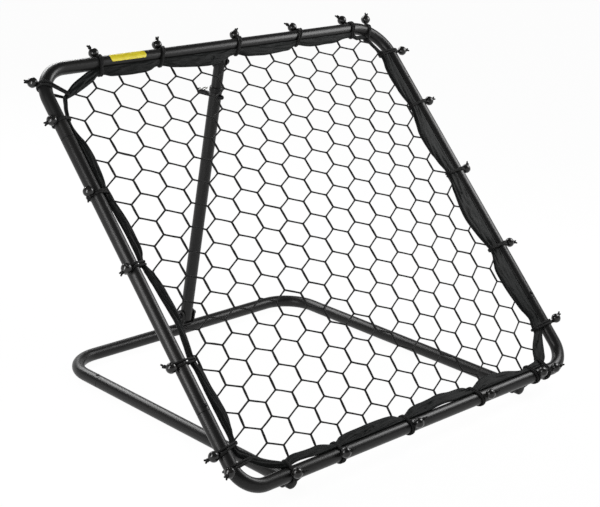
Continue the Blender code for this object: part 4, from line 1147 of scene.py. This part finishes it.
def build_label():
    """A bare yellow panel on the top bar, with round corners."""
    above_tube = 0.0006
    radius = TUBE_R + above_tube
    start, length, half = -0.281, 0.082, 0.0084
    turn = radians(4.5)
    corner = 0.004
    rows = []
    columns = 44
    work = bmesh.new()
    for i in range(columns + 1):
        x = length * i / columns
        inset = min(x, length - x, corner)
        cut = corner - sqrt(corner ** 2 - (corner - inset) ** 2)
        row = []
        for k in range(17):
            reach = (half - cut) * (2 * k / 16 - 1)
            angle = turn + reach / radius
            row.append(work.verts.new((start + x, HEIGHT + radius * sin(angle), radius * cos(angle))))
        rows.append(row)
    for left, right in zip(rows, rows[1:]):
        for k in range(16):
            work.faces.new((left[k], right[k], right[k + 1], left[k + 1]))
    bmesh.ops.recalc_face_normals(work, faces=work.faces)
    put("yellow_panel", mesh_of(work, "yellow_panel"), FRAME_AXES, "frame", ["top_bar_label"], FILM)


# Surroundings

def white_backdrop(tree, shaded, out):
    """A white glow over the shaded colour for the eye, gloss and glass, with a faint shadow left in it."""
    rays = tree.nodes.new("ShaderNodeLightPath").outputs
    seen = combine(tree, "MAXIMUM", rays["Is Camera Ray"], rays["Is Glossy Ray"])
    also = combine(tree, "MAXIMUM", seen, rays["Is Transmission Ray"])
    share = combine(tree, "MULTIPLY", also, 0.97)
    glow = add_node(tree, "ShaderNodeEmission", Strength=1.0)
    mix = tree.nodes.new("ShaderNodeMixShader")
    link(tree, share, mix.inputs["Fac"])
    link(tree, shaded, mix.inputs[1])
    link(tree, glow.outputs["Emission"], mix.inputs[2])
    link(tree, mix.outputs["Shader"], out)


def build_floor():
    work = bmesh.new()
    bmesh.ops.create_grid(work, x_segments=1, y_segments=1, size=30)
    mesh = mesh_of(work, "floor")
    floor = new_object("floor", mesh)
    floor.location = (0, 0, -0.0005)
    finish = Finish("floor_paint")
    finish.settle({"Base Color": (0.86, 0.86, 0.86, 1), "Roughness": 0.9, "Specular IOR Level": 0.1})
    out = next(n for n in finish.tree.nodes if n.type == "OUTPUT_MATERIAL")
    white_backdrop(finish.tree, finish.shader.outputs["BSDF"], out.inputs["Surface"])
    mesh.materials.append(finish.material)


def build_world():
    """A white band round the horizon, and a dim even dome above it."""
    world = bpy.data.worlds.new("studio")
    bpy.context.scene.world = world
    world.use_nodes = True
    tree = world.node_tree
    place = tree.nodes.new("ShaderNodeTexCoord")
    split = tree.nodes.new("ShaderNodeSeparateXYZ")
    link(tree, place.outputs["Generated"], split.inputs["Vector"])
    dim = 0.15
    tone = ramp(tree, split.outputs["Z"], [(0.0, 1.0), (0.22, 1.0), (0.36, dim), (1.0, dim)])
    link(tree, tone, tree.nodes["Background"].inputs["Color"])
    tree.nodes["Background"].inputs["Strength"].default_value = 1.0


def area(name, place_at, target, size, power):
    light = bpy.data.lights.new(name, "AREA")
    light.shape = "RECTANGLE"
    light.size = size[0]
    light.size_y = size[1]
    light.energy = power
    lamp = new_object(name, light)
    lamp.location = place_at
    lamp.visible_camera = False
    lamp.rotation_euler = (Vector(target) - Vector(place_at)).to_track_quat("-Z", "Y").to_euler()


def build_camera():
    azimuth, elevation, roll = -0.7788, 0.3246, 0.0409
    back = Vector((sin(azimuth) * cos(elevation), -cos(azimuth) * cos(elevation), sin(elevation)))
    level = Vector((cos(azimuth), sin(azimuth), 0))
    up = back.cross(level)
    right = level * cos(roll) + up * sin(roll)
    above = -level * sin(roll) + up * cos(roll)
    data = bpy.data.cameras.new("camera")
    data.lens = 89.23
    data.sensor_width = 36.0
    camera = new_object("camera", data)
    camera.matrix_world = frame_matrix(right, above, back, Vector((-1.93617, -2.31097, 1.20372)))
    bpy.context.scene.camera = camera


build_camera()
build_frame_tubes()
build_base_tubes()
build_buttons()
build_hinges()
build_foot()
build_head()
build_strut()
build_pin()
build_hem()
build_net()
build_ties()
build_label()
build_floor()
build_world()
area("left_strip", (-1.15, -0.55, 0.65), (-0.3, -0.45, 0.35), (0.28, 0.8), 9)
area("right_box", (1.1, -0.75, 1.1), (0.1, -0.4, 0.3), (0.7, 0.7), 18)
area("back_box", (0.2, 1.6, 1.7), (0, -0.35, 0.3), (1.6, 0.8), 50)

bpy.context.scene.view_settings.view_transform = "Standard"
bpy.context.view_layer.update()
